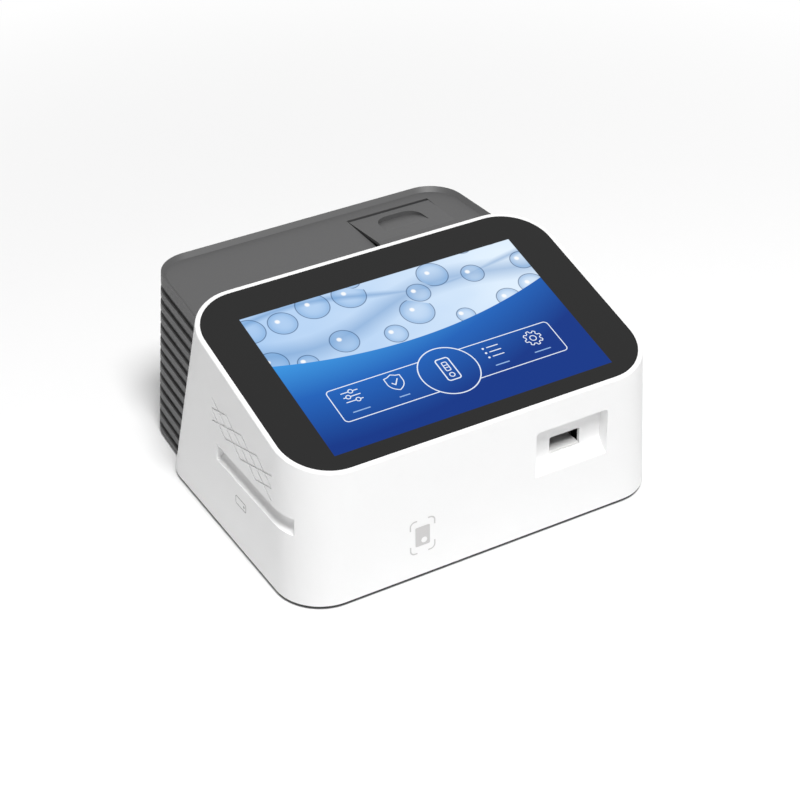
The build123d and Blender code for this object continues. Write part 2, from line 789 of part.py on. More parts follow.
with BuildPart() as printer_lid:
    with BuildSketch(Plane.YZ.offset(lid_x - lid_rear_width / 2)):
        with BuildLine():
            Polyline(*lid_side_view(0), *reversed(lid_side_view(lid_thickness)), close=True)
        make_face()
        with Locations((hinge_y, hinge_z)):
            Circle(hinge_radius)
    extrude(amount=lid_rear_width)
    add(thumb_form(thumb_wall, 3 * thumb_depth).intersect(lid_under_top.part))
    for x in (cheek_x[0], cheek_x[1] - cheek_thickness):
        with BuildSketch(Plane.YZ.offset(x)):
            with BuildLine():
                Polyline((hinge_y, hinge_z), (hinge_y, recess_floor_z - lid_thickness / 2),
                         (lid_ridge_y, ridge_z - lid_thickness / 2), (platen_y - 2, ridge_z - lid_thickness),
                         (platen_y - 2, ridge_z - cheek_drop), (platen_y + 4, ridge_z - cheek_drop), close=True)
            make_face()
        extrude(amount=cheek_thickness)
    add(lid_plan.part, mode=Mode.INTERSECT)
    add(thumb_form(0, 3 * thumb_depth), mode=Mode.SUBTRACT)
    add(cylinder_x(hinge_pin_radius + hinge_clearance, bucket_x[0] - 1, bucket_x[1] + 1, hinge_y, hinge_z),
        mode=Mode.SUBTRACT)
    add(cylinder_x(bush_radius, cheek_x[0] - 1, cheek_x[1] + 1, platen_y, platen_z), mode=Mode.SUBTRACT)

printer_lid.part.label = "printer_lid"
export_step(printer_lid.part, "parts/printer_lid.step")

with BuildPart() as lid_hinge_pin:
    add(cylinder_x(hinge_pin_radius, bucket_outer_x[0], bucket_outer_x[1], hinge_y, hinge_z))

lid_hinge_pin.part.label = "lid_hinge_pin"
export_step(lid_hinge_pin.part, "parts/lid_hinge_pin.step")

with BuildPart() as platen_bushes:
    for x in (cheek_x[0], cheek_x[1] - cheek_thickness):
        add(cylinder_x(bush_radius, x, x + cheek_thickness, platen_y, platen_z))
        add(cylinder_x(platen_shaft_radius + shaft_clearance, x, x + cheek_thickness, platen_y, platen_z),
            mode=Mode.SUBTRACT)

platen_bushes.part.label = "platen_bushes"
export_step(platen_bushes.part, "parts/platen_bushes.step")

with BuildPart() as platen_shaft:
    add(cylinder_x(platen_shaft_radius, cheek_x[0], cheek_x[1], platen_y, platen_z))

platen_shaft.part.label = "platen_shaft"
export_step(platen_shaft.part, "parts/platen_shaft.step")

with BuildPart() as platen_roller:
    add(cylinder_x(platen_radius, print_width[0], print_width[1], platen_y, platen_z))
    add(cylinder_x(platen_shaft_radius, print_width[0], print_width[1], platen_y, platen_z), mode=Mode.SUBTRACT)

platen_roller.part.label = "platen_roller"
export_step(platen_roller.part, "parts/platen_roller.step")

gear_low = Plane(origin=(feed_gear_x, platen_y, platen_z), x_dir=(0, 0, -1), z_dir=(1, 0, 0))
gear_up = Plane(origin=(feed_gear_x, platen_y, feed_motor_z), x_dir=(0, 0, 1), z_dir=(1, 0, 0))

with BuildPart() as platen_gear:
    with BuildSketch(gear_low):
        with BuildLine():
            Polyline(*gear_points(feed_module, feed_teeth), close=True)
        make_face()
        Circle(platen_shaft_radius, mode=Mode.SUBTRACT)
    extrude(amount=feed_gear_width)

platen_gear.part.label = "platen_gear"
export_step(platen_gear.part, "parts/platen_gear.step")

with BuildPart() as motor_gear:
    with BuildSketch(gear_up):
        with BuildLine():
            Polyline(*gear_points(feed_module, feed_teeth, 0.5), close=True)
        make_face()
        Circle(platen_shaft_radius, mode=Mode.SUBTRACT)
    extrude(amount=feed_gear_width)
    add(cylinder_x(platen_shaft_radius, feed_gear_x, bucket_outer_x[1] + feed_motor_length / 2, platen_y, feed_motor_z))

motor_gear.part.label = "motor_gear"
export_step(motor_gear.part, "parts/motor_gear.step")

with BuildPart() as printer_motor:
    add(cylinder_x(feed_motor_radius, bucket_outer_x[1], bucket_outer_x[1] + feed_motor_length, platen_y, feed_motor_z))
    add(cylinder_x(platen_shaft_radius + shaft_clearance, bucket_outer_x[1], bucket_outer_x[1] + feed_motor_length / 2 + 1,
                   platen_y, feed_motor_z), mode=Mode.SUBTRACT)

printer_motor.part.label = "printer_motor"
export_step(printer_motor.part, "parts/printer_motor.step")

with BuildPart() as head_spring:
    add(block(about(platen_x, platen_length * 0.8), (leaf_y, bracket_y), (head_bottom_z + 2, head_bottom_z + 10)))

head_spring.part.label = "head_spring"
export_step(head_spring.part, "parts/head_spring.step")

with BuildPart() as head_bracket:
    add(block(print_width, (bracket_y, head_y), (head_bottom_z - 4, top_under_z + 0.2)))

head_bracket.part.label = "head_bracket"
export_step(head_bracket.part, "parts/head_bracket.step")

with BuildPart() as print_head:
    add(block(print_width, (head_y, head_y + head_thickness), (head_bottom_z, head_bottom_z + head_height - 3)))

print_head.part.label = "print_head"
export_step(print_head.part, "parts/print_head.step")

with BuildPart() as tear_bar:
    with BuildSketch(Plane.XY.offset(top_under_z + 0.2)):
        with Locations((platen_x, head_y - tear_depth / 2)):
            Rectangle(platen_length, tear_depth)
        tooth_pitch = platen_length / tear_teeth
        for k in range(tear_teeth):
            x = print_width[0] + k * tooth_pitch
            with BuildLine():
                Polyline((x, head_y), (x + tooth_pitch, head_y), (x + tooth_pitch / 2, head_y + tooth_pitch / 2),
                         close=True)
            make_face()
    extrude(amount=tear_height)

tear_bar.part.label = "tear_bar"
export_step(tear_bar.part, "parts/tear_bar.step")

with BuildPart() as paper_roll:
    add(cylinder_x(roll_radius, lid_x - roll_width / 2, lid_x + roll_width / 2, roll_y, roll_z))
    add(cylinder_x(roll_core, lid_x - roll_width / 2, lid_x + roll_width / 2, roll_y, roll_z), mode=Mode.SUBTRACT)

paper_roll.part.label = "paper_roll"
export_step(paper_roll.part, "parts/paper_roll.step")

# ---------------------------------------------------------------- reader

pinion_radius = rack_module * pinion_teeth / 2
pinion_z = rack_pitch_z - pinion_radius
tooth_pitch_y = pi * rack_module
carrier_front_y = scoop_back_y + port_clearance
tray_bottom_z = carrier_floor_z - carrier_floor
rod_x = (reader_x - rod_spread, reader_x + rod_spread)
pinion_x = about(reader_x, rack_width)

with BuildPart() as reader_frame:
    add(block(about(reader_x, 2 * reader_half_width), (reader_front_y, reader_rear_y), (foot_z, foot_z + reader_floor)))
    for y in (reader_front_y, reader_rear_y - reader_wall):
        add(block(about(reader_x, 2 * reader_half_width), (y, y + reader_wall), (foot_z, bridge_z)))
    for x in (reader_x - reader_half_width, reader_x + reader_half_width - bridge_wall):
        add(block((x, x + bridge_wall), (bridge_front_y, reader_rear_y), (foot_z, bridge_z)))
    add(block(about(reader_x, 2 * reader_half_width), (bridge_front_y, reader_rear_y), (bridge_z, bridge_z + bridge_thickness)))
    add(block((motor_bracket_x - motor_bracket, motor_bracket_x), about(pinion_y, carrier_motor_size + 4),
              (foot_z, pinion_z + carrier_motor_size / 2)))
    add(block(about(reader_x, carrier_width + 6), (reader_front_y - 1, reader_front_y + reader_wall + 1),
              (tray_bottom_z - 3, slot_top_z + 2)), mode=Mode.SUBTRACT)
    for x in rod_x:
        add(cylinder_y(rod_radius + rod_clearance, reader_front_y - 1, reader_rear_y + 1, x, rod_z), mode=Mode.SUBTRACT)
    add(cylinder_x(pinion_shaft_radius + 4 * port_clearance, motor_bracket_x - motor_bracket - 1, motor_bracket_x + 1,
                   pinion_y, pinion_z), mode=Mode.SUBTRACT)

reader_frame.part.label = "reader_frame"
export_step(reader_frame.part, "parts/reader_frame.step")

with BuildPart() as guide_rods:
    for x in rod_x:
        add(cylinder_y(rod_radius, reader_front_y, reader_rear_y, x, rod_z))

guide_rods.part.label = "guide_rods"
export_step(guide_rods.part, "parts/guide_rods.step")

with BuildPart() as cassette_carrier:
    add(block(about(reader_x, carrier_width), (carrier_front_y, carrier_front_y + carrier_length),
              (tray_bottom_z, carrier_floor_z)))
    for side in (-1, 1):
        rail_x = reader_x + side * (carrier_width - carrier_rail_width) / 2
        add(block(about(rail_x, carrier_rail_width), (carrier_front_y + carrier_rail_start, carrier_front_y + carrier_length),
                  (carrier_floor_z, carrier_floor_z + carrier_rail)))
    add(block(about(reader_x, carrier_width), (slider_front_y, slider_front_y + slider_length),
              (slider_bottom_z, tray_bottom_z)))
    add(block(about(reader_x, 2 * slider_half_width), (slider_front_y, slider_front_y + slider_length),
              (slider_bottom_z, slider_top_z)))
    for x in rod_x:
        add(cylinder_y(rod_bush_radius, slider_front_y - 1, slider_front_y + slider_length + 1, x, rod_z),
            mode=Mode.SUBTRACT)

cassette_carrier.part.label = "cassette_carrier"
export_step(cassette_carrier.part, "parts/cassette_carrier.step")

with BuildPart() as carrier_bushes:
    for x in rod_x:
        for y in (slider_front_y, slider_front_y + slider_length - rod_bush_length):
            add(cylinder_y(rod_bush_radius, y, y + rod_bush_length, x, rod_z))
            add(cylinder_y(rod_radius + rod_clearance, y, y + rod_bush_length, x, rod_z), mode=Mode.SUBTRACT)

carrier_bushes.part.label = "carrier_bushes"
export_step(carrier_bushes.part, "parts/carrier_bushes.step")

with BuildPart() as carrier_rack:
    root_z = rack_pitch_z + 1.25 * rack_module
    tip_z = rack_pitch_z - rack_module
    add(block(pinion_x, (rack_front_y, rack_front_y + rack_length), (root_z, slider_bottom_z)))
    slope = tan(radians(pressure_angle))
    half_at_pitch = tooth_pitch_y / 4 - backlash / 2
    first = int((rack_front_y - pinion_y) / tooth_pitch_y) + 1
    last = int((rack_front_y + rack_length - pinion_y) / tooth_pitch_y)
    for k in range(first, last):
        middle = pinion_y + (k + 0.5) * tooth_pitch_y
        root_half = half_at_pitch + (root_z - rack_pitch_z) * slope
        tip_half = half_at_pitch - (rack_pitch_z - tip_z) * slope
        with BuildSketch(Plane.YZ.offset(pinion_x[0])):
            with BuildLine():
                Polyline((middle - root_half, root_z), (middle + root_half, root_z), (middle + tip_half, tip_z),
                         (middle - tip_half, tip_z), close=True)
            make_face()
        extrude(amount=rack_width)

carrier_rack.part.label = "carrier_rack"
export_step(carrier_rack.part, "parts/carrier_rack.step")

with BuildPart() as carrier_pinion:
    with BuildSketch(Plane(origin=(pinion_x[0], pinion_y, pinion_z), x_dir=(0, 0, 1), z_dir=(1, 0, 0))):
        with BuildLine():
            Polyline(*gear_points(rack_module, pinion_teeth), close=True)
        make_face()
        Circle(pinion_shaft_radius, mode=Mode.SUBTRACT)
    extrude(amount=rack_width)

carrier_pinion.part.label = "carrier_pinion"
export_step(carrier_pinion.part, "parts/carrier_pinion.step")

with BuildPart() as pinion_shaft:
    add(cylinder_x(pinion_shaft_radius, pinion_x[0], motor_bracket_x + carrier_motor_length / 2, pinion_y, pinion_z))

pinion_shaft.part.label = "pinion_shaft"
export_step(pinion_shaft.part, "parts/pinion_shaft.step")

with BuildPart() as carrier_motor:
    with BuildSketch(Plane.YZ.offset(motor_bracket_x)):
        with Locations((pinion_y, pinion_z)):
            RectangleRounded(carrier_motor_size, carrier_motor_size, 2 * screw_radius)
    extrude(amount=carrier_motor_length)
    add(cylinder_x(pinion_shaft_radius + shaft_clearance, motor_bracket_x, motor_bracket_x + carrier_motor_length / 2 + 1,
                   pinion_y, pinion_z), mode=Mode.SUBTRACT)

carrier_motor.part.label = "carrier_motor"
export_step(carrier_motor.part, "parts/carrier_motor.step")

with BuildPart() as optical_head:
    add(block(about(reader_x, optics_size[0]), about(optics_y, optics_size[1]), (bridge_z - optics_size[2], bridge_z)))

optical_head.part.label = "optical_head"
export_step(optical_head.part, "parts/optical_head.step")

with BuildPart() as objective_lens:
    with BuildSketch(Plane.XY.offset(bridge_z - optics_size[2])):
        with Locations((reader_x, optics_y)):
            Circle(lens_radius)
    extrude(amount=-lens_length)
    fillet(objective_lens.edges().group_by(Axis.Z)[0], lens_length / 2)

objective_lens.part.label = "objective_lens"
export_step(objective_lens.part, "parts/objective_lens.step")

with BuildPart() as optics_board:
    optics_board_z = bridge_z + bridge_thickness
    add(block(about(reader_x, 1.6 * optics_size[0]), about(optics_y, 1.2 * optics_size[1]),
              (optics_board_z, optics_board_z + board_thickness)))
    add(block(about(reader_x, chip_size / 2), about(optics_y, chip_size / 2),
              (optics_board_z + board_thickness, optics_board_z + board_thickness + chip_height)))

optics_board.part.label = "optics_board"
export_step(optics_board.part, "parts/optics_board.step")

with BuildPart() as home_sensor:
    sensor_x = reader_x - reader_half_width + bridge_wall
    add(block((sensor_x, sensor_x + 6), about(optics_y, 12), (slider_top_z + 3, slider_top_z + 13)))

home_sensor.part.label = "home_sensor"
export_step(home_sensor.part, "parts/home_sensor.step")

# ---------------------------------------------------------------- boards

board_z = foot_z + standoff_height
board_top_z = board_z + board_thickness
board_holes = [(board_x + sx * (board_size[0] / 2 - board_hole_inset), board_y + sy * (board_size[1] / 2 - board_hole_inset))
               for sx in (-1, 1) for sy in (-1, 1)]
pocket_inner_y = pocket_wall_y - port_clearance
port_board_y = pocket_inner_y - port_board_depth / 2
port_holes = [(port_board_x + sx * (port_board_width / 2 - board_hole_inset), port_board_y - port_board_depth / 2 + board_hole_inset)
              for sx in (-1, 1)]

with BuildPart() as main_board:
    with BuildSketch(Plane.XY.offset(board_z)):
        with Locations((board_x, board_y)):
            RectangleRounded(board_size[0], board_size[1], 2.0)
        with Locations(*board_holes):
            Circle(screw_radius + screw_clearance, mode=Mode.SUBTRACT)
    extrude(amount=board_thickness)

main_board.part.label = "main_board"
export_step(main_board.part, "parts/main_board.step")

with BuildPart() as board_standoffs:
    for places, height in ((board_holes, standoff_height), (port_holes, port_board_z - foot_z)):
        with BuildSketch(Plane.XY.offset(foot_z)):
            with Locations(*places):
                Circle(standoff_radius)
                Circle(screw_radius + screw_clearance, mode=Mode.SUBTRACT)
        extrude(amount=height)

board_standoffs.part.label = "board_standoffs"
export_step(board_standoffs.part, "parts/board_standoffs.step")

with BuildPart() as board_screws:
    for places, top_z in ((board_holes, board_top_z), (port_holes, port_floor_z)):
        with BuildSketch(Plane.XY.offset(top_z)):
            with Locations(*places):
                Circle(2 * screw_radius)
        extrude(amount=screw_radius)
        with BuildSketch(Plane.XY.offset(top_z)):
            with Locations(*places):
                Circle(screw_radius)
        extrude(amount=-standoff_height)

board_screws.part.label = "board_screws"
export_step(board_screws.part, "parts/board_screws.step")

ribbon_start = screen.from_local_coords((0, ribbon_v, -panel_back - ribbon_thickness / 2))
ribbon_turn = screen.from_local_coords((0, ribbon_v - ribbon_lie, -panel_back - ribbon_thickness / 2))
connector_top_z = board_top_z + connector_height
chip_place = (board_x + 10, board_y + 16)

with BuildPart() as board_chips:
    with BuildSketch(Plane.XY.offset(board_top_z)):
        with Locations(chip_place):
            Rectangle(chip_size, chip_size)
        with Locations((board_x + 10, board_y - 20)):
            with GridLocations(18, 0, 3, 1):
                Rectangle(12, 10)
    extrude(amount=chip_height)
    with BuildSketch(Plane.XY.offset(board_top_z)):
        with Locations((ribbon_x, ribbon_turn.Y)):
            Rectangle(ribbon_width + 6, 6)
        with Locations((board_x, board_y + board_size[1] / 2 - 16)):
            with GridLocations(22, 0, 3, 1):
                Rectangle(14, 8)
        with Locations((board_x - 44, board_y - 20)):
            with GridLocations(0, 16, 1, 4):
                Rectangle(8, 8)
    extrude(amount=connector_height)

board_chips.part.label = "board_chips"
export_step(board_chips.part, "parts/board_chips.step")

with BuildPart() as heatsink:
    sink_z = board_top_z + chip_height
    with BuildSketch(Plane.XY.offset(sink_z)):
        with Locations(chip_place):
            Rectangle(sink_size, sink_size)
    extrude(amount=sink_base)
    with BuildSketch(Plane.XY.offset(sink_z + sink_base)):
        with Locations(chip_place):
            with GridLocations(sink_size / sink_fins, 0, sink_fins, 1):
                Rectangle(sink_size / sink_fins * 0.4, sink_size)
    extrude(amount=sink_height - sink_base)

heatsink.part.label = "heatsink"
export_step(heatsink.part, "parts/heatsink.step")

with BuildPart() as coin_cell:
    with BuildSketch(Plane.XY.offset(board_top_z)):
        with Locations((board_x - 34, board_y + 30)):
            Circle(coin_radius)
    extrude(amount=coin_thickness)

coin_cell.part.label = "coin_cell"
export_step(coin_cell.part, "parts/coin_cell.step")

with BuildPart() as display_cable:
    with BuildSketch(Plane.YZ.offset(ribbon_x - ribbon_width / 2)):
        with BuildLine():
            FilletPolyline((ribbon_start.Y, ribbon_start.Z), (ribbon_turn.Y, ribbon_turn.Z),
                           (ribbon_turn.Y, connector_top_z), radius=ribbon_bend)
        trace(line_width=ribbon_thickness)
    extrude(amount=ribbon_width)

display_cable.part.label = "display_cable"
export_step(display_cable.part, "parts/display_cable.step")

with BuildPart() as card_reader_board:
    add(block((card_board_x - board_thickness, card_board_x), about(card_board_y, card_board_length),
              (foot_z, foot_z + card_board_height)))

card_reader_board.part.label = "card_reader_board"
export_step(card_reader_board.part, "parts/card_reader_board.step")

with BuildPart() as card_antenna:
    with BuildSketch(Plane.YZ.offset(card_board_x - board_thickness - antenna_thickness)):
        with Locations((card_board_y, channel_z)):
            RectangleRounded(*antenna_size, antenna_corner)
            inner_size = [side - 2 * antenna_track for side in antenna_size]
            RectangleRounded(*inner_size, antenna_corner / 2, mode=Mode.SUBTRACT)
    extrude(amount=antenna_thickness)

card_antenna.part.label = "card_antenna"
export_step(card_antenna.part, "parts/card_antenna.step")

with BuildPart() as speaker:
    with BuildSketch(Plane.XY.offset(foot_z)):
        with Locations((speaker_x, speaker_y)):
            Circle(speaker_radius)
    extrude(amount=speaker_height)
    chamfer(speaker.edges().group_by(Axis.Z)[-1], 1.5)

speaker.part.label = "speaker"
export_step(speaker.part, "parts/speaker.step")

# ---------------------------------------------------------------- ports and switch

with BuildPart() as port_board:
    with BuildSketch(Plane.XY.offset(port_board_z)):
        with Locations((port_board_x, port_board_y)):
            Rectangle(port_board_width, port_board_depth)
        with Locations(*port_holes):
            Circle(screw_radius + screw_clearance, mode=Mode.SUBTRACT)
    extrude(amount=board_thickness)

port_board.part.label = "port_board"
export_step(port_board.part, "parts/port_board.step")

with BuildPart() as usb_sockets:
    for x in usb_x:
        add(block(about(x, usb_size[0]), (pocket_y - usb_size[1], pocket_y), (port_floor_z, port_floor_z + usb_size[2])))
        add(block(about(x, usb_size[0] - 1.2), (pocket_y - 9, pocket_y), about(usb_middle_z, usb_size[2] - 1.2)),
            mode=Mode.SUBTRACT)
        add(block(about(x, usb_size[0] - 2.4), (pocket_y - 9.5, pocket_y - 0.8), (usb_middle_z, usb_middle_z + 1.8)))

usb_sockets.part.label = "usb_sockets"
export_step(usb_sockets.part, "parts/usb_sockets.step")

with BuildPart() as network_socket:
    add(block(about(network_x, network_size[0]), (pocket_y - network_size[1], pocket_y),
              (port_floor_z, port_floor_z + network_size[2])))
    add(block(about(network_x, 11.8), (pocket_y - 13, pocket_y), about(network_middle_z, 8.5)), mode=Mode.SUBTRACT)

network_socket.part.label = "network_socket"
export_step(network_socket.part, "parts/network_socket.step")

with BuildPart() as serial_socket:
    add(block(about(serial_x, serial_size[0]), (pocket_y - serial_size[1], pocket_y),
              (port_floor_z, port_floor_z + serial_size[2])))
    with BuildSketch(Plane.XZ.offset(-pocket_y)):
        with Locations((serial_x, serial_middle_z)):
            Trapezoid(17.0, 8.4, 80, rotation=180)
    extrude(amount=-(port_pocket_depth - 0.3))

serial_socket.part.label = "serial_socket"
export_step(serial_socket.part, "parts/serial_socket.step")

with BuildPart() as power_inlet:
    add(cylinder_y(inlet_radius, pocket_y - inlet_length, pocket_y + 0.5, inlet_x, inlet_z))
    add(cylinder_y(inlet_flange, pocket_y, pocket_y + 1.2, inlet_x, inlet_z))
    add(cylinder_y(inlet_bore, pocket_y - 9, pocket_y + 2, inlet_x, inlet_z), mode=Mode.SUBTRACT)
    add(cylinder_y(inlet_pin, pocket_y - 10, pocket_y, inlet_x, inlet_z))

power_inlet.part.label = "power_inlet"
export_step(power_inlet.part, "parts/power_inlet.step")

rocker_y = pocket_y - 2.1
rocker_reach = rocker_half_length + 1.1

with BuildPart() as power_switch:
    add(block(about(switch_x, switch_size[0]), (pocket_y - switch_size[1], pocket_y), about(inlet_z, switch_size[2])))
    add(block(about(switch_x, switch_size[0] + 2), (pocket_y, pocket_y + switch_flange), about(inlet_z, switch_size[2] + 2)))
    add(block(about(switch_x, rocker_width + 2 * rocker_clearance), (rocker_y - 6, rear_y), about(inlet_z, 2 * rocker_reach)),
        mode=Mode.SUBTRACT)
    add(cylinder_x(rocker_pin + rocker_pin_clearance, switch_x - switch_size[0] / 2, switch_x + switch_size[0] / 2,
                   rocker_y, inlet_z), mode=Mode.SUBTRACT)

power_switch.part.label = "power_switch"
export_step(power_switch.part, "parts/power_switch.step")

with BuildPart() as power_rocker:
    rocker_end = 2.2 + rocker_half_length * tan(radians(rocker_tilt))
    with BuildSketch(Plane(origin=(switch_x - rocker_width / 2, rocker_y, inlet_z), x_dir=(0, 1, 0), z_dir=(1, 0, 0))):
        with BuildLine():
            Polyline((2.2, 0), (rocker_end, rocker_half_length), (0, rocker_half_length - 0.4), (-3.5, 3),
                     (-3.5, -3), (0, -rocker_half_length + 0.4), (rocker_end, -rocker_half_length), close=True)
        make_face()
    extrude(amount=rocker_width)
    pin_half = switch_size[0] / 2 - rocker_clearance
    add(cylinder_x(rocker_pin, switch_x - pin_half, switch_x + pin_half, rocker_y, inlet_z))

power_rocker.part = power_rocker.part.rotate(Axis((switch_x, rocker_y, inlet_z), (1, 0, 0)), -rocker_tilt)
power_rocker.part.label = "power_rocker"
export_step(power_rocker.part, "parts/power_rocker.step")

# ---------------------------------------------------------------- fan

fan_back_y = rear_wall_y - rib_depth
fan_front_y = fan_back_y - fan_depth
fan_axis_length = fan_depth - 4.0

with BuildPart() as fan_frame:
    with BuildSketch(Plane.XZ.offset(-fan_front_y)):
        with Locations((fan_x, fan_z)):
            RectangleRounded(fan_size, fan_size, 3)
            Circle(fan_bore, mode=Mode.SUBTRACT)
            with GridLocations(fan_hole_spacing, fan_hole_spacing, 2, 2):
                Circle(screw_radius + screw_clearance, mode=Mode.SUBTRACT)
    extrude(amount=-fan_depth)
    with BuildSketch(Plane.XZ.offset(-fan_front_y)):
        with Locations((fan_x, fan_z)):
            Circle(fan_hub)
            with PolarLocations(0, 3):
                with Locations((fan_bore / 2 + 1, 0)):
                    Rectangle(fan_bore, 4)
            Circle(screw_radius + shaft_clearance, mode=Mode.SUBTRACT)
    extrude(amount=-2)

fan_frame.part.label = "fan_frame"
export_step(fan_frame.part, "parts/fan_frame.step")

with BuildPart() as fan_rotor:
    add(cylinder_y(fan_hub, fan_front_y + 2.5, fan_front_y + 2.5 + fan_axis_length, fan_x, fan_z))
    add(cylinder_y(screw_radius, fan_front_y + 0.2, fan_front_y + 4, fan_x, fan_z))
    blade_y = fan_front_y + 2.5 + fan_axis_length / 2
    for k in range(fan_blades):
        turn = 2 * pi * k / fan_blades
        pitch = radians(fan_blade_pitch)
        blade_plane = Plane(origin=(fan_x, blade_y, fan_z), x_dir=(cos(turn), 0, sin(turn)),
                            z_dir=(-sin(turn) * sin(pitch), cos(pitch), cos(turn) * sin(pitch)))
        with BuildSketch(blade_plane.offset(-fan_blade_thickness / 2)):
            with Locations(((fan_hub - 1 + fan_blade_tip) / 2, 0)):
                Rectangle(fan_blade_tip - fan_hub + 1, fan_blade_chord)
        extrude(amount=fan_blade_thickness)

fan_rotor.part.label = "fan_rotor"
export_step(fan_rotor.part, "parts/fan_rotor.step")

with BuildPart() as fan_screws:
    with BuildSketch(Plane.XZ.offset(-fan_front_y)):
        with Locations((fan_x, fan_z)):
            with GridLocations(fan_hole_spacing, fan_hole_spacing, 2, 2):
                Circle(2 * screw_radius)
    extrude(amount=screw_radius)
    with BuildSketch(Plane.XZ.offset(-fan_front_y)):
        with Locations((fan_x, fan_z)):
            with GridLocations(fan_hole_spacing, fan_hole_spacing, 2, 2):
                Circle(screw_radius)
    extrude(amount=-fan_depth)

fan_screws.part.label = "fan_screws"
export_step(fan_screws.part, "parts/fan_screws.step")
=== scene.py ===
"""Looks of a bench-top rapid test reader: finishes, lit screen, printed marks, light and camera."""

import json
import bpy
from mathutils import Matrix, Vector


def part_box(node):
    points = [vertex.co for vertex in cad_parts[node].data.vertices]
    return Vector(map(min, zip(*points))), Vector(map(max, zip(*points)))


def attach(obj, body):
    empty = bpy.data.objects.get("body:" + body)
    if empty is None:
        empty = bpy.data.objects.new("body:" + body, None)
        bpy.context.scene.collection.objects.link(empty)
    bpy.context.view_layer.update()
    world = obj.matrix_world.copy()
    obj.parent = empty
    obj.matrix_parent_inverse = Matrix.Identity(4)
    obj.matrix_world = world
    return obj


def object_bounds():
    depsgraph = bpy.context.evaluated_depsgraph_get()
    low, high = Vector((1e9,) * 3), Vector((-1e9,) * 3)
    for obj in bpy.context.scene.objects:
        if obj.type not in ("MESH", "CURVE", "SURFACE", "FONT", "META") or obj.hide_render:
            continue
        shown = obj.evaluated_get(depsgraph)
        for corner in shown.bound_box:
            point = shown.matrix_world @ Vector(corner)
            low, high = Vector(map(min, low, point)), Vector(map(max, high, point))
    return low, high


bl_info = {
    "name": "Rapid Test Reader Looks",
    "version": (1, 0, 0),
    "blender": (4, 5, 0),
    "location": "View3D > Sidebar > Reader",
    "description": "Dresses the packed reader with finishes, lit screen, printed marks, studio and camera",
    "category": "Object",
}

import bpy
import numpy as np
from bpy.props import FloatProperty, FloatVectorProperty, PointerProperty
from mathutils import Matrix, Vector

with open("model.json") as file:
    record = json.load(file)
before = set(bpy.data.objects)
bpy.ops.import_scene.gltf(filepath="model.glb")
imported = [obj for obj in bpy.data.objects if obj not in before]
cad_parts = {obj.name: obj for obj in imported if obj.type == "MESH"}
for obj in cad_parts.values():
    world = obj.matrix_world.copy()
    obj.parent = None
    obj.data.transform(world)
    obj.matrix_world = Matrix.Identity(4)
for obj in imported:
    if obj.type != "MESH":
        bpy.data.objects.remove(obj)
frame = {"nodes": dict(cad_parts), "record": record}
cad_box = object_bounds()

MM = 0.001

WHITE = (1, 1, 1, 1)
BLACK = (0, 0, 0, 1)

# The glass and the picture behind it, in millimetres on the glass plane: u to the right, v up the slope
SCREEN_TILT = np.radians(13.72)
GLASS_THICKNESS = 1.8
PANEL_ROW_PITCH = 0.5
PICTURE_HALF_WIDTH = 108.48
PICTURE_BOTTOM = 12.4
PICTURE_TOP = 148.0
EDGE_SOFTNESS = 0.3
PALE_LOWEST = 85.5
PALE_LOWEST_U = -8.0
PALE_RISE = 0.0014
FIELD_FALL = 105.0
FIELD_DRIFT = 560.0
BAND_MIDDLES = (118.0, 135.0)
BAND_HALF_WIDTHS = (13.0, 4.0)
CELL_PITCH = 30.0
CELL_SPREAD = 0.7
CELL_GLINT_SHIFT = 0.09
CELL_GLINT_RADIUS = 0.075

# The menu on the screen
MENU_HALF_WIDTH = 87.3
MENU_MIDDLE = 50.0
MENU_HALF_HEIGHT = 14.8
MENU_CORNER = 3.0
RING_RADIUS = 21.6
LABEL_V = 41.5
LABEL_WIDTH = 0.9
ICON_LINE = 0.7
ICON_FINE_LINE = 0.65
LINE_LIFT = 0.06
LINE_DEPTH = 0.05
DISC_STEPS = 24
DISC_CORE = 0.3

# Printed marks on the white shell
FRONT_MARK = (-52.7, 34.6)
FRONT_LEAN = 0.0252
SIDE_MARK = (-46.7, 41.1)
SIDE_LEAN = 0.0349
MARK_LIFT = 0.05
MARK_DEPTH = 0.04
CARD_HALF_SIZE = (5.6, 7.8)
CARD_CORNER = 1.0
CARD_HOLE = (1.2, -3.6)
CARD_HOLE_RADIUS = 2.3
BRACKET_REACH = (9.4, 13.2)
BRACKET_ENDS = (4.2, 6.6)
BRACKET_CORNER = 3.4
BRACKET_WIDTH = 1.0
SIDE_CARD_HALF_SIZE = (7.4, 3.1)
SIDE_CARD_CORNER = 1.2
SIDE_CARD_DOT = (4.6, 0)
# The side mark's ink is the front mark's grey made darker by this share: painted shade for the shaded left side
SIDE_INK_PAINTED_SHADE = 0.6

# Camera, from the vanishing directions of the photograph
CAMERA_PLACE = (-0.6109, -1.0471, 0.8692)
CAMERA_RIGHT = (0.86109, -0.50845, 0.0)
CAMERA_UP = (0.28501, 0.48268, 0.82813)
CAMERA_LENS = 91.83

# Studio: the lamp's place from the object's middle, the floor's own light, and where it turns to plain white
KEY_PLACE = (-0.30, -1.4, 3.0)
FLOOR_GLOW = 0.06
FLOOR_CLEAR = (0.4, 0.9)
FLOOR_HALF_SIZE = 6.0


def tone(red, green, blue):
    """A colour as a screen shows it, 0 to 255, made linear for the shader."""
    share = np.array([red, green, blue]) / 255
    linear = np.where(share <= 0.04045, share / 12.92, ((share + 0.055) / 1.055) ** 2.4)
    return (*linear.tolist(), 1.0)


# ---------------------------------------------------------------- shader maths


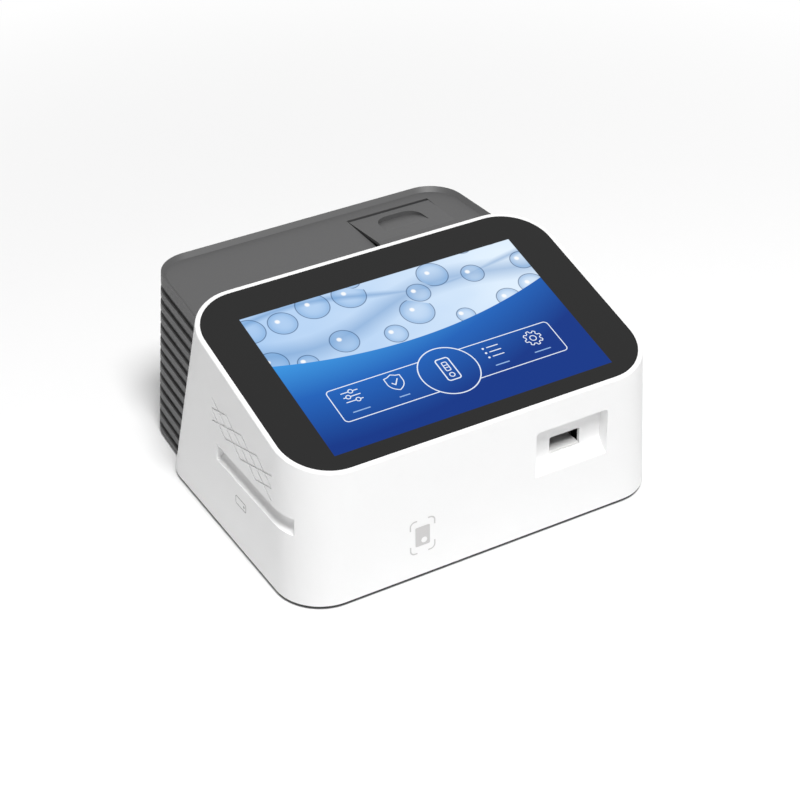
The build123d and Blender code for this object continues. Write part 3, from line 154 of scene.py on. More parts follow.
class Value:
    """A socket of a node tree that takes part in sums as a number does."""

    def __init__(self, finish, socket):
        self.finish = finish
        self.socket = socket

    def math(self, operation, *others):
        """A Math node on this value and the others."""
        return self.finish.node("ShaderNodeMath", {"operation": operation}, dict(enumerate((self, *others))))

    def __add__(self, other):
        return self.math("ADD", other)

    def __radd__(self, other):
        return self.math("ADD", other)

    def __sub__(self, other):
        return self.math("SUBTRACT", other)

    def __rsub__(self, other):
        return self.finish.node("ShaderNodeMath", {"operation": "SUBTRACT"}, {0: other, 1: self})

    def __mul__(self, other):
        return self.math("MULTIPLY", other)

    def __rmul__(self, other):
        return self.math("MULTIPLY", other)

    def __truediv__(self, other):
        return self.math("DIVIDE", other)

    def __pow__(self, other):
        return self.math("POWER", other)

    def size(self):
        """The value without its sign."""
        return self.math("ABSOLUTE")

    def sine(self):
        """Its sine."""
        return self.math("SINE")

    def least(self, other):
        """The smaller of this and the other."""
        return self.math("MINIMUM", other)

    def most(self, other):
        """The larger of this and the other."""
        return self.math("MAXIMUM", other)

    def kept(self, low=0.0, high=1.0):
        """The value held between two limits."""
        return self.most(low).least(high)


class NodeTree:
    """A node tree being put together, and the one way in which its nodes are made."""

    def __init__(self, tree):
        self.tree = tree

    def node(self, kind, settings=(), inputs=(), output=0):
        """Makes a node of one kind, gives it settings or ramp stops, fills its inputs and gives one output."""
        made = self.tree.nodes.new(kind)
        for name, value in dict(settings).items():
            if name == "stops":
                self.set_stops(made.color_ramp.elements, value)
            else:
                setattr(made, name, value)
        for name, value in dict(inputs).items():
            self.fill(made.inputs[name], value)
        return Value(self, made.outputs[output])

    def set_stops(self, elements, stops):
        """Gives a ramp its stops: pairs of a place and a colour."""
        while len(elements) < len(stops):
            elements.new(1.0)
        for element, (place, colour) in zip(elements, stops):
            element.position = place
            element.color = colour

    def fill(self, socket, value):
        """Links a value into a socket, or sets the number or colour there."""
        if isinstance(value, Value):
            self.tree.links.new(value.socket, socket)
        else:
            socket.default_value = value

    def seen(self):
        """One where the camera, a gloss or clear glass looks, and nothing where light is only gathered."""
        kinds = ("Camera", "Glossy", "Transmission")
        camera, gloss, glass = (self.node("ShaderNodeLightPath", output=f"Is {kind} Ray") for kind in kinds)
        return camera.most(gloss).most(glass)


class Finish(NodeTree):
    """A material being put together round its own surface shader."""

    def __init__(self, name):
        self.material = bpy.data.materials.new(name)
        self.material.use_nodes = True
        super().__init__(self.material.node_tree)
        self.shader = self.tree.nodes["Principled BSDF"]

    def surface(self, **inputs):
        """Fills the shader's own sockets, each named in lower case with underscores."""
        for name, value in inputs.items():
            title = name.replace("_", " ").title().replace("Ior", "IOR")
            self.fill(self.shader.inputs[title], value)
        return self

    def place(self):
        """Object coordinates, as a vector."""
        return self.node("ShaderNodeTexCoord", output="Object")

    def axes(self):
        """Object coordinates in millimetres, as three values."""
        split = self.node("ShaderNodeSeparateXYZ", inputs={0: self.place()}).socket.node
        return [Value(self, socket) / MM for socket in split.outputs]

    def join(self, x, y, z=0.0):
        """A vector from three values."""
        return self.node("ShaderNodeCombineXYZ", inputs={0: x, 1: y, 2: z})

    def noise(self, scale, detail=2.0, stretch=(1, 1, 1)):
        """Noise from 0 to 1, its features about one over the scale in metres and drawn out by stretch."""
        place = self.node("ShaderNodeVectorMath", {"operation": "MULTIPLY"}, {0: self.place(), 1: stretch})
        return self.node("ShaderNodeTexNoise", inputs={"Vector": place, "Scale": scale, "Detail": detail})

    def cell_distance(self, u, v, shift, output=0):
        """Distance to the nearest of the sky's cells, looked up a shift off, or another output there."""
        place = self.join(u / CELL_PITCH + shift, v / CELL_PITCH - shift)
        inputs = {"Vector": place, "Scale": 1.0, "Randomness": CELL_SPREAD}
        return self.node("ShaderNodeTexVoronoi", {"voronoi_dimensions": "2D"}, inputs, output)

    def mix(self, share, first, second):
        """The first colour, with a share of the second in it."""
        return self.node("ShaderNodeMix", {"data_type": "RGBA"}, {0: share, 6: first, 7: second}, output=2)

    def bump(self, height, depth, strength=1.0):
        """A normal that rises and falls with the height, as deep as depth in metres."""
        return self.node("ShaderNodeBump", inputs={"Strength": strength, "Distance": depth, "Height": height})


def shade(colour, share):
    """A colour made darker, or lighter where the share is over one."""
    return (*[part * share for part in colour[:3]], 1.0)


# ---------------------------------------------------------------- finishes of the frame's nodes


def moulded(name, colour, roughness, grain, depth, mottle=0.04):
    """Moulded plastic: spark-eroded grain, with a slow drift of colour and gloss from the flow."""
    finish = Finish(name)
    flow = finish.noise(14.0, 3.0)
    texture = finish.noise(grain, 2.0)
    finish.surface(
        base_color=finish.mix(flow, shade(colour, 1 - mottle), shade(colour, 1 + mottle)),
        roughness=roughness + (flow - 0.5) * 0.10 + (texture - 0.5) * 0.08,
        normal=finish.bump(texture, depth),
    )
    return finish.material


def brushed(name, colour, roughness, stretch):
    """Drawn or brushed metal: noise drawn out along one axis marks the gloss and the colour."""
    finish = Finish(name)
    lines = finish.noise(900.0, 3.0, stretch)
    stain = finish.noise(30.0, 4.0)
    finish.surface(
        base_color=finish.mix(stain * 0.5 + lines * 0.5, shade(colour, 0.82), shade(colour, 1.1)),
        metallic=1.0,
        roughness=roughness + (lines - 0.5) * 0.18,
        normal=finish.bump(lines, 0.00001),
    )
    return finish.material


def soft_rubber(name, colour, pores):
    """Rubber or foam: matt, with pores as fine as the scale."""
    finish = Finish(name)
    pits = finish.node("ShaderNodeTexVoronoi", inputs={"Vector": finish.place(), "Scale": pores})
    dust = finish.noise(60.0, 4.0)
    finish.surface(
        base_color=finish.mix(dust, shade(colour, 0.8), shade(colour, 1.5)),
        roughness=0.78 + dust * 0.15,
        normal=finish.bump(pits, 0.00005),
    )
    return finish.material


def circuit_board(name):
    """Green solder mask over copper: tracks from the joints of two brick patterns, and tinned pads."""
    finish = Finish(name)
    joints = []
    for turn in (0.0, np.pi / 2):
        turned = finish.node(
            "ShaderNodeVectorRotate", {"rotation_type": "X_AXIS"},
            {"Vector": finish.place(), "Angle": turn},
        )
        joints.append(finish.node(
            "ShaderNodeTexBrick", {"offset": 0.37, "squash": 0.6},
            {"Vector": turned, "Scale": 190.0, "Mortar Size": 0.035, "Brick Width": 1.7, "Row Height": 0.31},
            output=1,
        ))
    tracks = joints[0].most(joints[1])
    pads = finish.node(
        "ShaderNodeTexVoronoi", {"distance": "CHEBYCHEV"},
        {"Vector": finish.place(), "Scale": 210.0, "Randomness": 0.55},
    )
    tinned = ((0.17 - pads) * 40).kept()
    mask = finish.mix(tracks, tone(14, 72, 40), tone(40, 118, 66))
    finish.surface(
        base_color=finish.mix(tinned, mask, tone(196, 190, 170)),
        roughness=0.34 + finish.noise(80.0, 3.0) * 0.12,
        metallic=tinned,
        normal=finish.bump(tracks.most(tinned), 0.00004),
    )
    return finish.material


def flat_cable(name):
    """Ribbon cable: amber film over copper conductors side by side along X."""
    finish = Finish(name)
    x = finish.axes()[0]
    conductors = ((x * (2 * np.pi)).sine() * 3 + 0.5).kept()
    finish.surface(
        base_color=finish.mix(conductors, tone(150, 96, 30), tone(206, 160, 78)),
        roughness=0.28 + finish.noise(120.0) * 0.1,
        normal=finish.bump(conductors, 0.00003),
    )
    return finish.material


def wound_paper(name):
    """Thermal paper: a smooth white coat, and rings of its turns by distance from the roll's axis."""
    low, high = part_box("paper_roll")
    middle = (low + high) / 2 / MM
    finish = Finish(name)
    y, z = finish.axes()[1:]
    radius = ((y - middle.y) ** 2 + (z - middle.z) ** 2) ** 0.5
    turns = (radius * 9.0).sine() * 0.5 + 0.5
    fibre = finish.noise(1500.0, 4.0)
    finish.surface(
        base_color=finish.mix(turns * 0.6 + fibre * 0.4, tone(214, 213, 208), tone(243, 243, 240)),
        roughness=0.52 + fibre * 0.12,
        normal=finish.bump(fibre, 0.00002),
    )
    return finish.material


def clear_lens(name):
    """Coated lens glass with a faint mark of dust."""
    finish = Finish(name)
    dust = finish.noise(700.0, 4.0)
    finish.surface(
        base_color=finish.mix(dust, tone(190, 206, 226), tone(214, 224, 236)),
        roughness=0.03 + dust * 0.04,
        transmission_weight=0.9,
        coat_weight=1.0,
    )
    return finish.material


def glazed_ceramic(name):
    """Glazed head strip: pale body with fine specks under a clear coat."""
    finish = Finish(name)
    specks = finish.noise(1100.0, 5.0)
    finish.surface(
        base_color=finish.mix(specks, tone(205, 202, 190), tone(236, 234, 226)),
        roughness=0.22 + specks * 0.1,
        coat_weight=0.6,
    )
    return finish.material


def lit_panel(name):
    """The panel behind the glass: dark film over fine rows of picture elements."""
    finish = Finish(name)
    x, y = finish.axes()[:2]
    waves = 2 * np.pi / PANEL_ROW_PITCH
    rows = (x * waves).sine() * (y * waves).sine()
    finish.surface(
        base_color=finish.mix(rows.kept(), tone(10, 30, 70), tone(22, 60, 120)),
        roughness=0.18 + finish.noise(50.0) * 0.08,
    )
    return finish.material


def screen_plane():
    """The glass plane: its origin in the middle of the front edge, its two directions and its normal."""
    low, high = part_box("cover_glass")
    slope = Vector((0, np.cos(SCREEN_TILT), np.sin(SCREEN_TILT)))
    normal = Vector((0, -np.sin(SCREEN_TILT), np.cos(SCREEN_TILT)))
    origin = Vector((0, low.y, low.z + GLASS_THICKNESS * MM * np.cos(SCREEN_TILT)))
    return origin, Vector((1, 0, 0)), slope, normal


def screen_glass(name, looks):
    """Touch glass with a dark border and the lit picture: a deep blue field under a pale sky with clear cells.

    On the glass plane u runs right and v up the slope. The field turns from light to deep blue down and to
    the right, and ends at a shallow parabola. Above it the sky has bands that follow a sine, and cells of
    mixed sizes, each with a dark rim and a glint.
    """
    finish = Finish(name)
    origin = screen_plane()[0] / MM
    u, y, z = finish.axes()
    v = (y - origin.y) * float(np.cos(SCREEN_TILT)) + (z - origin.z) * float(np.sin(SCREEN_TILT))
    sideways = ((PICTURE_HALF_WIDTH - u.size()) / EDGE_SOFTNESS).kept()
    upright = ((v - PICTURE_BOTTOM) / EDGE_SOFTNESS).kept() * ((PICTURE_TOP - v) / EDGE_SOFTNESS).kept()
    picture = sideways * upright

    edge = (u - PALE_LOWEST_U) ** 2 * PALE_RISE + PALE_LOWEST
    sky = ((v - edge) / EDGE_SOFTNESS + 0.5).kept()
    fall = ((edge - v) / FIELD_FALL + (u + PICTURE_HALF_WIDTH) / FIELD_DRIFT).kept()
    blues = ((0.0, looks.field_light), (0.32, looks.field_middle), (0.75, looks.field_deep))
    stops = [(place, (*colour, 1)) for place, colour in (*blues, (1.0, looks.field_deep))]
    field = finish.node("ShaderNodeValToRGB", {"stops": stops}, {0: fall})

    across = ((u + PICTURE_HALF_WIDTH) / (2 * PICTURE_HALF_WIDTH)).kept()
    clouds = {"Vector": finish.join(u / 60, v / 44), "Scale": 1.0, "Detail": 2.0}
    haze = finish.node("ShaderNodeTexNoise", inputs=clouds)
    pale = finish.mix((across * 0.7 + haze * 0.5).kept(), (*looks.sky_left, 1), (*looks.sky_right, 1))
    sway = (u / 31 + 0.6).sine() * 8 + (u / 67).sine() * 7
    broad = (1 - (v - sway - BAND_MIDDLES[0]).size() / BAND_HALF_WIDTHS[0]).kept() * 0.5
    narrow = (1 - (v - sway * -0.8 - BAND_MIDDLES[1]).size() / BAND_HALF_WIDTHS[1]).kept() * 0.55
    drawn = finish.mix(broad.most(narrow), pale, (*looks.band, 1))
    cell_share = finish.cell_distance(u, v, 0.0, 1)
    reach = 0.18 + cell_share * 0.30
    cells = finish.cell_distance(u, v, 0.0)
    body = ((reach - cells) * 30).kept()
    shell = (cells / reach).kept() ** 3
    glint = ((CELL_GLINT_RADIUS - finish.cell_distance(u, v, CELL_GLINT_SHIFT)) * 30).kept() * body
    drawn = finish.mix(body * (0.12 + shell * 0.55), drawn, (*looks.cell_fill, 1))
    drawn = finish.mix((1 - (cells - reach).size() * 48).kept() * 0.9, drawn, (*looks.cell_edge, 1))
    drawn = finish.mix(glint * 0.9, drawn, WHITE)

    image = finish.mix(sky, field, drawn)
    dust = finish.noise(420.0, 5.0)
    finish.surface(
        base_color=finish.mix(picture, (*looks.border, 1), (0.002, 0.002, 0.002, 1)),
        emission_color=finish.mix(picture, BLACK, image),
        emission_strength=1.0,
        roughness=0.05 + dust * 0.05,
        specular_ior_level=0.08,
    )
    return finish.material


def printed_ink(name, colour, roughness=0.5):
    """Screen-printed ink: an even colour broken by the fine mesh of its screen."""
    finish = Finish(name)
    mesh = finish.noise(2400.0, 2.0)
    finish.surface(
        base_color=finish.mix(mesh, shade(colour, 0.96), shade(colour, 1.04)),
        roughness=roughness + mesh * 0.08,
    )
    return finish.material


def lit_line(name, colour):
    """A line of the lit picture, in the picture's own light."""
    finish = Finish(name)
    glow = finish.noise(300.0, 2.0)
    finish.surface(
        base_color=(0.003, 0.003, 0.003, 1),
        emission_color=finish.mix(glow * 0.2, colour, shade(colour, 0.85)),
        emission_strength=1.0,
        roughness=0.1 + glow * 0.05,
        specular_ior_level=0.08,
    )
    return finish.material


def wear_slot(slot, material):
    """Gives the material to every frame node that the record puts in one material slot."""
    names = [part["node"] for part in frame["record"]["subparts"] if part["material_slot"] == slot]
    if not names:
        raise RuntimeError(f"no node of the frame has the material slot {slot}")
    for name in names:
        mesh = frame["nodes"][name].data
        mesh.materials.clear()
        mesh.materials.append(material)


# ---------------------------------------------------------------- flat shapes, in millimetres on a plane


def circle_path(middle, radius, steps=72):
    """Points at equal angles round a middle."""
    angle = np.linspace(0, 2 * np.pi, steps, endpoint=False)
    return np.array(middle) + radius * np.stack([np.cos(angle), np.sin(angle)], 1)


def rounded_path(middle, half_width, half_height, corner, steps=12):
    """A rectangle with round corners: each quarter turn of a small circle, moved out to its own corner."""
    angle = np.linspace(0, np.pi / 2, steps)[None, :] + np.arange(4)[:, None] * np.pi / 2
    side = np.array([[1, 1], [-1, 1], [-1, -1], [1, -1]])[:, None, :]
    reach = np.array([half_width - corner, half_height - corner])
    arcs = corner * np.stack([np.cos(angle), np.sin(angle)], 2)
    return (np.array(middle) + side * reach + arcs).reshape(-1, 2)


def side_normals(runs):
    """Unit vectors a quarter turn to the left of each run."""
    unit = runs / np.linalg.norm(runs, axis=1, keepdims=True)
    return np.stack([-unit[:, 1], unit[:, 0]], 1)


def band(path, width, closed):
    """A flat band of even width along a path: each point moves both ways along the mean normal of its runs."""
    path = np.asarray(path, float)
    if closed:
        after = np.roll(path, -1, 0) - path
        before = np.roll(after, 1, 0)
    else:
        runs = np.diff(path, axis=0)
        after = np.concatenate([runs, runs[-1:]])
        before = np.concatenate([runs[:1], runs])
    outward = side_normals(before) + side_normals(after)
    outward /= np.linalg.norm(outward, axis=1, keepdims=True)
    reach = width / 2 / np.sum(outward * side_normals(after), axis=1, keepdims=True)
    return strip_between(path + outward * reach, path - outward * reach, closed)


def strip_between(left, right, closed=True):
    """Quads between two rows of points that keep step with each other, facing up where left is on the left."""
    count = len(left)
    here = np.arange(count if closed else count - 1)
    there = (here + 1) % count
    faces = np.stack([here + count, there + count, there, here], 1)
    return np.concatenate([left, right]), faces


def disc(middle, radius):
    """A filled disc: a band from a small ring at the middle to the rim, the small ring closed by one face."""
    rim = circle_path(middle, radius, DISC_STEPS)
    core = circle_path(middle, radius * DISC_CORE, DISC_STEPS)
    points, faces = strip_between(core, rim)
    return points, faces.tolist() + [list(range(DISC_STEPS))]


def gathered(shapes):
    """One list of points and one of faces from many flat shapes."""
    points, faces, start = [], [], 0
    for shape_points, shape_faces in shapes:
        points.append(shape_points)
        faces.extend([[start + int(corner) for corner in face] for face in shape_faces])
        start += len(shape_points)
    return np.concatenate(points), faces


def laid_piece(name, shapes, spread, depth, material):
    """A thin piece: flat shapes laid on a surface by spread, which gives metres, and made depth thick."""
    points, faces = gathered(shapes)
    mesh = bpy.data.meshes.new(name)
    mesh.from_pydata(spread(points).tolist(), [], faces)
    mesh.update()
    mesh.materials.append(material)
    piece = bpy.data.objects.new(name, mesh)
    bpy.context.scene.collection.objects.link(piece)
    wall = piece.modifiers.new("depth", "SOLIDIFY")
    wall.thickness = depth * MM
    wall.offset = -1
    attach(piece, "case")
    return piece


def on_screen(points):
    """Points of the glass plane, a little above the glass: origin + u x right + v x slope + lift x normal."""
    origin, right, slope, normal = (np.array(vector) for vector in screen_plane())
    return origin + MM * (points[:, :1] * right + points[:, 1:] * slope + LINE_LIFT * normal)


def on_front(points):
    """Points about the front mark's middle, on the leaning front face: its y falls back as z rises."""
    low = np.array(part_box("front_housing")[0]) / MM
    x = FRONT_MARK[0] + points[:, 0]
    z = FRONT_MARK[1] + points[:, 1]
    y = low[1] + FRONT_LEAN * (z - low[2]) - MARK_LIFT
    return MM * np.stack([x, y, z], 1)


def on_left_side(points):
    """Points about the side mark's middle, on the leaning left face, the first axis towards the front."""
    low = np.array(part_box("front_housing")[0]) / MM
    y = SIDE_MARK[0] - points[:, 0]
    z = SIDE_MARK[1] + points[:, 1]
    x = low[0] + SIDE_LEAN * (z - low[2]) - MARK_LIFT
    return MM * np.stack([x, y, z], 1)


# ---------------------------------------------------------------- screen menu


def menu_frame(width):
    """The menu's rounded rectangle in two halves, each ending where it meets the ring in the middle."""
    top = MENU_MIDDLE + MENU_HALF_HEIGHT
    meet = np.sqrt(RING_RADIUS ** 2 - MENU_HALF_HEIGHT ** 2)
    whole = rounded_path((0, MENU_MIDDLE), MENU_HALF_WIDTH, MENU_HALF_HEIGHT, MENU_CORNER)
    left = whole[whole[:, 0] < 0]
    start, end = np.array([[-meet, top]]), np.array([[-meet, 2 * MENU_MIDDLE - top]])
    half = np.concatenate([start, left, end])
    return [band(half, width, False), band(half * (-1, 1), width, False)]


def sliders_icon(middle):
    """Three sliders: level lines, each with a knob at its own place."""
    shapes = []
    for row, knob in ((-1, 2.6), (0, -2.8), (1, 1.0)):
        level = middle[1] + 4.2 * row
        shapes.append(band([(middle[0] - 6.4, level), (middle[0] + knob - 1.7, level)], ICON_LINE, False))
        shapes.append(band([(middle[0] + knob + 1.7, level), (middle[0] + 6.4, level)], ICON_LINE, False))
        shapes.append(band(circle_path((middle[0] + knob, level), 1.6, 28), ICON_FINE_LINE, True))
    return shapes


def shield_icon(middle):
    """A shield: straight shoulders and sides, and a foot on a quadratic curve, with a tick inside."""
    share = np.linspace(0, 1, 14)[:, None]
    foot = (1 - share) ** 2 * (6.0, -0.5) + 2 * share * (1 - share) * (5.4, -5.2) + share ** 2 * (0.0, -7.6)
    half = np.concatenate([[(0.0, 7.0), (3.2, 5.4), (6.0, 4.9)], foot])
    whole = np.concatenate([half, (half * (-1, 1))[-2:0:-1]])
    tick = np.array([(-2.7, -0.2), (-0.7, -2.4), (3.0, 2.4)])
    return [band(middle + whole, ICON_LINE, True), band(middle + tick, 0.8, False)]


def cassette_icon(middle):
    """An upright test cassette: its body, a result window with two lines, and a round well."""
    window = np.array(middle) + (0, 2.6)
    shapes = [
        band(rounded_path(middle, 5.0, 10.2, 2.0), 0.9, True),
        band(rounded_path(window, 1.8, 4.0, 0.8), ICON_LINE, True),
        band(circle_path(np.array(middle) - (0, 5.6), 1.8, 32), ICON_LINE, True),
    ]
    for level in (-1.1, 1.1):
        shapes.append(band([window + (-1.4, level), window + (1.4, level)], 0.6, False))
    return shapes


def list_icon(middle):
    """A list of results: three lines behind three dots."""
    shapes = []
    for row in (-1, 0, 1):
        level = middle[1] + 4.4 * row
        shapes.append(disc((middle[0] - 5.6, level), 0.85))
        shapes.append(band([(middle[0] - 2.8, level), (middle[0] + 6.4, level)], 0.75, False))
    return shapes


def wheel_icon(middle):
    """A toothed wheel: its radius swings between root and tip as a steep, rounded wave of the angle."""
    angle = np.linspace(0, 2 * np.pi, 168, endpoint=False)
    radius = 5.9 + 0.85 * np.tanh(3.2 * np.sin(8 * angle))
    rim = np.array(middle) + radius[:, None] * np.stack([np.cos(angle), np.sin(angle)], 1)
    return [band(rim, ICON_FINE_LINE, True), band(circle_path(middle, 2.3, 36), ICON_FINE_LINE, True)]


# Each icon with its middle and the length of the bar under it
ICON_PLACES = (
    (sliders_icon, (-72.2, 55.0), 13.0),
    (shield_icon, (-39.4, 55.0), 8.0),
    (list_icon, (37.5, 54.2), 11.0),
    (wheel_icon, (70.1, 54.1), 13.0),
)
CASSETTE_PLACE = (0.0, 51.5)


# ---------------------------------------------------------------- operators


class ReaderShellLooks(bpy.types.PropertyGroup):
    """Colours and grain of the two outer shells."""

    white: FloatVectorProperty(name="White", description="Colour of the front shell", subtype="COLOR",
                               default=(0.86, 0.86, 0.86), min=0, max=1)
    dark: FloatVectorProperty(name="Dark", description="Colour of the ribbed rear shell", subtype="COLOR",
                              default=(0.073, 0.073, 0.074), min=0, max=1)
    grain: FloatProperty(name="Grain depth", description="Depth of the moulded grain", unit="LENGTH",
                         default=0.00003, min=0, precision=5)


class ReaderScreenLooks(bpy.types.PropertyGroup):
    """Colours of the lit picture and width of its lines."""

    border: FloatVectorProperty(name="Border", description="Print behind the glass border", subtype="COLOR",
                                default=(0.019, 0.019, 0.019), min=0, max=1)
    field_light: FloatVectorProperty(name="Field, light", description="Blue by the sky's edge", subtype="COLOR",
                                     default=tone(58, 150, 226)[:3], min=0, max=1)
    field_middle: FloatVectorProperty(name="Field, middle", description="Blue in the middle", subtype="COLOR",
                                      default=tone(26, 98, 186)[:3], min=0, max=1)
    field_deep: FloatVectorProperty(name="Field, deep", description="Blue at the foot", subtype="COLOR",
                                    default=tone(4, 52, 136)[:3], min=0, max=1)
    sky_left: FloatVectorProperty(name="Sky, left", description="Pale blue on the left", subtype="COLOR",
                                  default=tone(146, 190, 238)[:3], min=0, max=1)
    sky_right: FloatVectorProperty(name="Sky, right", description="Pale blue on the right", subtype="COLOR",
                                   default=tone(228, 242, 255)[:3], min=0, max=1)
    cell_fill: FloatVectorProperty(name="Cell fill", description="Blue inside the cells", subtype="COLOR",
                                   default=tone(112, 164, 216)[:3], min=0, max=1)
    cell_edge: FloatVectorProperty(name="Cell edge", description="Blue of the cells' rings", subtype="COLOR",
                                   default=tone(24, 74, 122)[:3], min=0, max=1)
    band: FloatVectorProperty(name="Bands", description="Blue of the swaying bands", subtype="COLOR",
                              default=tone(84, 140, 196)[:3], min=0, max=1)
    line_width: FloatProperty(name="Line width", description="Width of the menu's frame", unit="LENGTH",
                              default=0.0007, min=0.0001, precision=5)


class ReaderMarkLooks(bpy.types.PropertyGroup):
    """Ink of the printed marks."""

    ink: FloatVectorProperty(name="Ink", description="Grey of the printed marks", subtype="COLOR",
                             default=tone(196, 195, 195)[:3], min=0, max=1)


class ReaderStageLooks(bpy.types.PropertyGroup):
    """Light and floor of the studio."""

    floor: FloatVectorProperty(name="Floor", description="Colour of the floor", subtype="COLOR",
                               default=(0.9, 0.9, 0.9), min=0, max=1)
    sky: FloatProperty(name="Sky light", description="Strength of the even light from all round",
                       default=0.22, min=0)
    key: FloatProperty(name="Key light", description="Power of the soft lamp above the front", unit="POWER",
                       default=115.0, min=0)
    key_size: FloatProperty(name="Key size", description="Side of the soft lamp", unit="LENGTH",
                            default=1.1, min=0.1)


class READER_OT_shell_finishes(bpy.types.Operator):
    """Gives the shells and plate their moulded finishes, and the feet, roller and gasket their rubber"""

    bl_idname = "reader.shell_finishes"
    bl_label = "Shell finishes"

    def execute(self, context):
        looks = context.scene.reader_shells
        white, dark = (*looks.white, 1), (*looks.dark, 1)
        wear_slot("white_shell", moulded("white_shell_plastic", white, 0.44, 2200.0, looks.grain / 2, 0.012))
        wear_slot("dark_shell", moulded("dark_shell_plastic", dark, 0.52, 1900.0, looks.grain, 0.05))
        wear_slot("dark_plate", moulded("dark_plate_plastic", tone(48, 48, 49), 0.6, 1500.0, looks.grain, 0.08))
        wear_slot("rubber", soft_rubber("feet_and_roller_rubber", tone(28, 28, 29), 2600.0))
        wear_slot("foam", soft_rubber("gasket_foam", tone(38, 38, 40), 1500.0))
        return {"FINISHED"}


class READER_OT_inner_finishes(bpy.types.Operator):
    """Gives the pieces inside their plastics, metals, boards, glass and paper"""

    bl_idname = "reader.inner_finishes"
    bl_label = "Inner finishes"

    def execute(self, context):
        # The carrier's colour is raised near pure white as painted light, to brighten the tray that lies in
        # shade deep in the slot
        black, white = tone(36, 36, 38), tone(248, 248, 247)
        wear_slot("black_plastic", moulded("black_inner_plastic", black, 0.5, 1700.0, 0.00002, 0.1))
        wear_slot("white_carrier", moulded("white_carrier_plastic", white, 0.38, 2300.0, 0.00001, 0.015))
        wear_slot("nylon", moulded("milky_nylon", tone(226, 224, 210), 0.35, 1200.0, 0.00001, 0.04))
        wear_slot("steel", brushed("plated_steel", tone(196, 197, 200), 0.3, (0.08, 1, 1)))
        wear_slot("motor_metal", brushed("drawn_motor_can", tone(168, 170, 174), 0.36, (0.05, 1, 1)))
        wear_slot("aluminium", brushed("anodised_aluminium", tone(206, 208, 212), 0.42, (1, 0.07, 1)))
        wear_slot("brass", brushed("turned_brass", tone(212, 176, 98), 0.28, (1, 0.1, 1)))
        wear_slot("board", circuit_board("circuit_board"))
        wear_slot("ribbon", flat_cable("display_ribbon"))
        wear_slot("ceramic", glazed_ceramic("head_ceramic"))
        wear_slot("paper", wound_paper("thermal_paper"))
        wear_slot("lens_glass", clear_lens("coated_lens"))
        return {"FINISHED"}


class READER_OT_screen(bpy.types.Operator):
    """Gives the glass its dark border and lit picture, and the panel behind it its film"""

    bl_idname = "reader.screen"
    bl_label = "Lit screen"

    def execute(self, context):
        wear_slot("black_glass", screen_glass("screen_glass", context.scene.reader_screen))
        wear_slot("panel", lit_panel("display_film"))
        return {"FINISHED"}


class READER_OT_menu_lines(bpy.types.Operator):
    """Lays the menu on the lit picture: its frame and ring, five icons, and bars under four of them"""

    bl_idname = "reader.menu_lines"
    bl_label = "Menu lines"

    def execute(self, context):
        width = context.scene.reader_screen.line_width / MM
        white = lit_line("menu_light", tone(236, 244, 255))
        soft = lit_line("menu_soft_light", tone(150, 186, 232))
        frame_shapes = menu_frame(width)
        frame_shapes.append(band(circle_path((0, MENU_MIDDLE), RING_RADIUS, 120), width * 1.2, True))
        laid_piece("menu_frame", frame_shapes, on_screen, LINE_DEPTH, white)
        icons, bars = cassette_icon(CASSETTE_PLACE), []
        for draw, middle, length in ICON_PLACES:
            icons.extend(draw(middle))
            ends = [(middle[0] - length / 2, LABEL_V), (middle[0] + length / 2, LABEL_V)]
            bars.append(band(ends, LABEL_WIDTH, False))
        laid_piece("menu_icons", icons, on_screen, LINE_DEPTH, white)
        laid_piece("menu_bars", bars, on_screen, LINE_DEPTH, soft)
        return {"FINISHED"}


class READER_OT_printed_marks(bpy.types.Operator):
    """Prints the card mark on the front by the scoop and the card mark by the channel on the left side, the
    side mark in the same grey ink made darker as painted shade
    """

    bl_idname = "reader.printed_marks"
    bl_label = "Printed marks"

    def execute(self, context):
        ink = printed_ink("grey_ink", (*context.scene.reader_marks.ink, 1))
        # The side mark takes a darker copy of the same grey ink: painted shade for the shaded left side
        side_ink_painted_shade = printed_ink("grey_ink_painted_shade", shade(context.scene.reader_marks.ink, SIDE_INK_PAINTED_SHADE))
        hole = circle_path(CARD_HOLE, CARD_HOLE_RADIUS, 48)
        card = rounded_path((0, 0), *CARD_HALF_SIZE, CARD_CORNER)
        shapes = [strip_between(hole, card)]
        reach_x, reach_z = BRACKET_REACH
        end_x, end_z = BRACKET_ENDS
        corner = rounded_path((0, 0), reach_x, reach_z, BRACKET_CORNER)[:12]
        bracket = np.concatenate([[(reach_x, end_z)], corner, [(end_x, reach_z)]])
        for side in (-1, 1):
            for end in (-1, 1):
                shapes.append(band(bracket * (side, end), BRACKET_WIDTH, False))
        laid_piece("front_card_mark", shapes, on_front, MARK_DEPTH, ink)
        side_shapes = [
            band(rounded_path((0, 0), *SIDE_CARD_HALF_SIZE, SIDE_CARD_CORNER), ICON_LINE, True),
            disc(SIDE_CARD_DOT, 1.0),
        ]
        laid_piece("side_card_mark", side_shapes, on_left_side, MARK_DEPTH, side_ink_painted_shade)
        return {"FINISHED"}


class READER_OT_stage(bpy.types.Operator):
    """Lays the pale floor, lights it softly and sets the camera"""

    bl_idname = "reader.stage"
    bl_label = "Studio and camera"

    def execute(self, context):
        scene = context.scene
        looks = scene.reader_stage
        scene.view_settings.view_transform = "Standard"
        lay_floor(looks)
        light_world(scene, looks)
        low, high = cad_box
        middle = (low + high) / 2
        soft_lamp("key_light", middle + Vector(KEY_PLACE), middle, looks.key, looks.key_size)
        set_camera(scene)
        return {"FINISHED"}


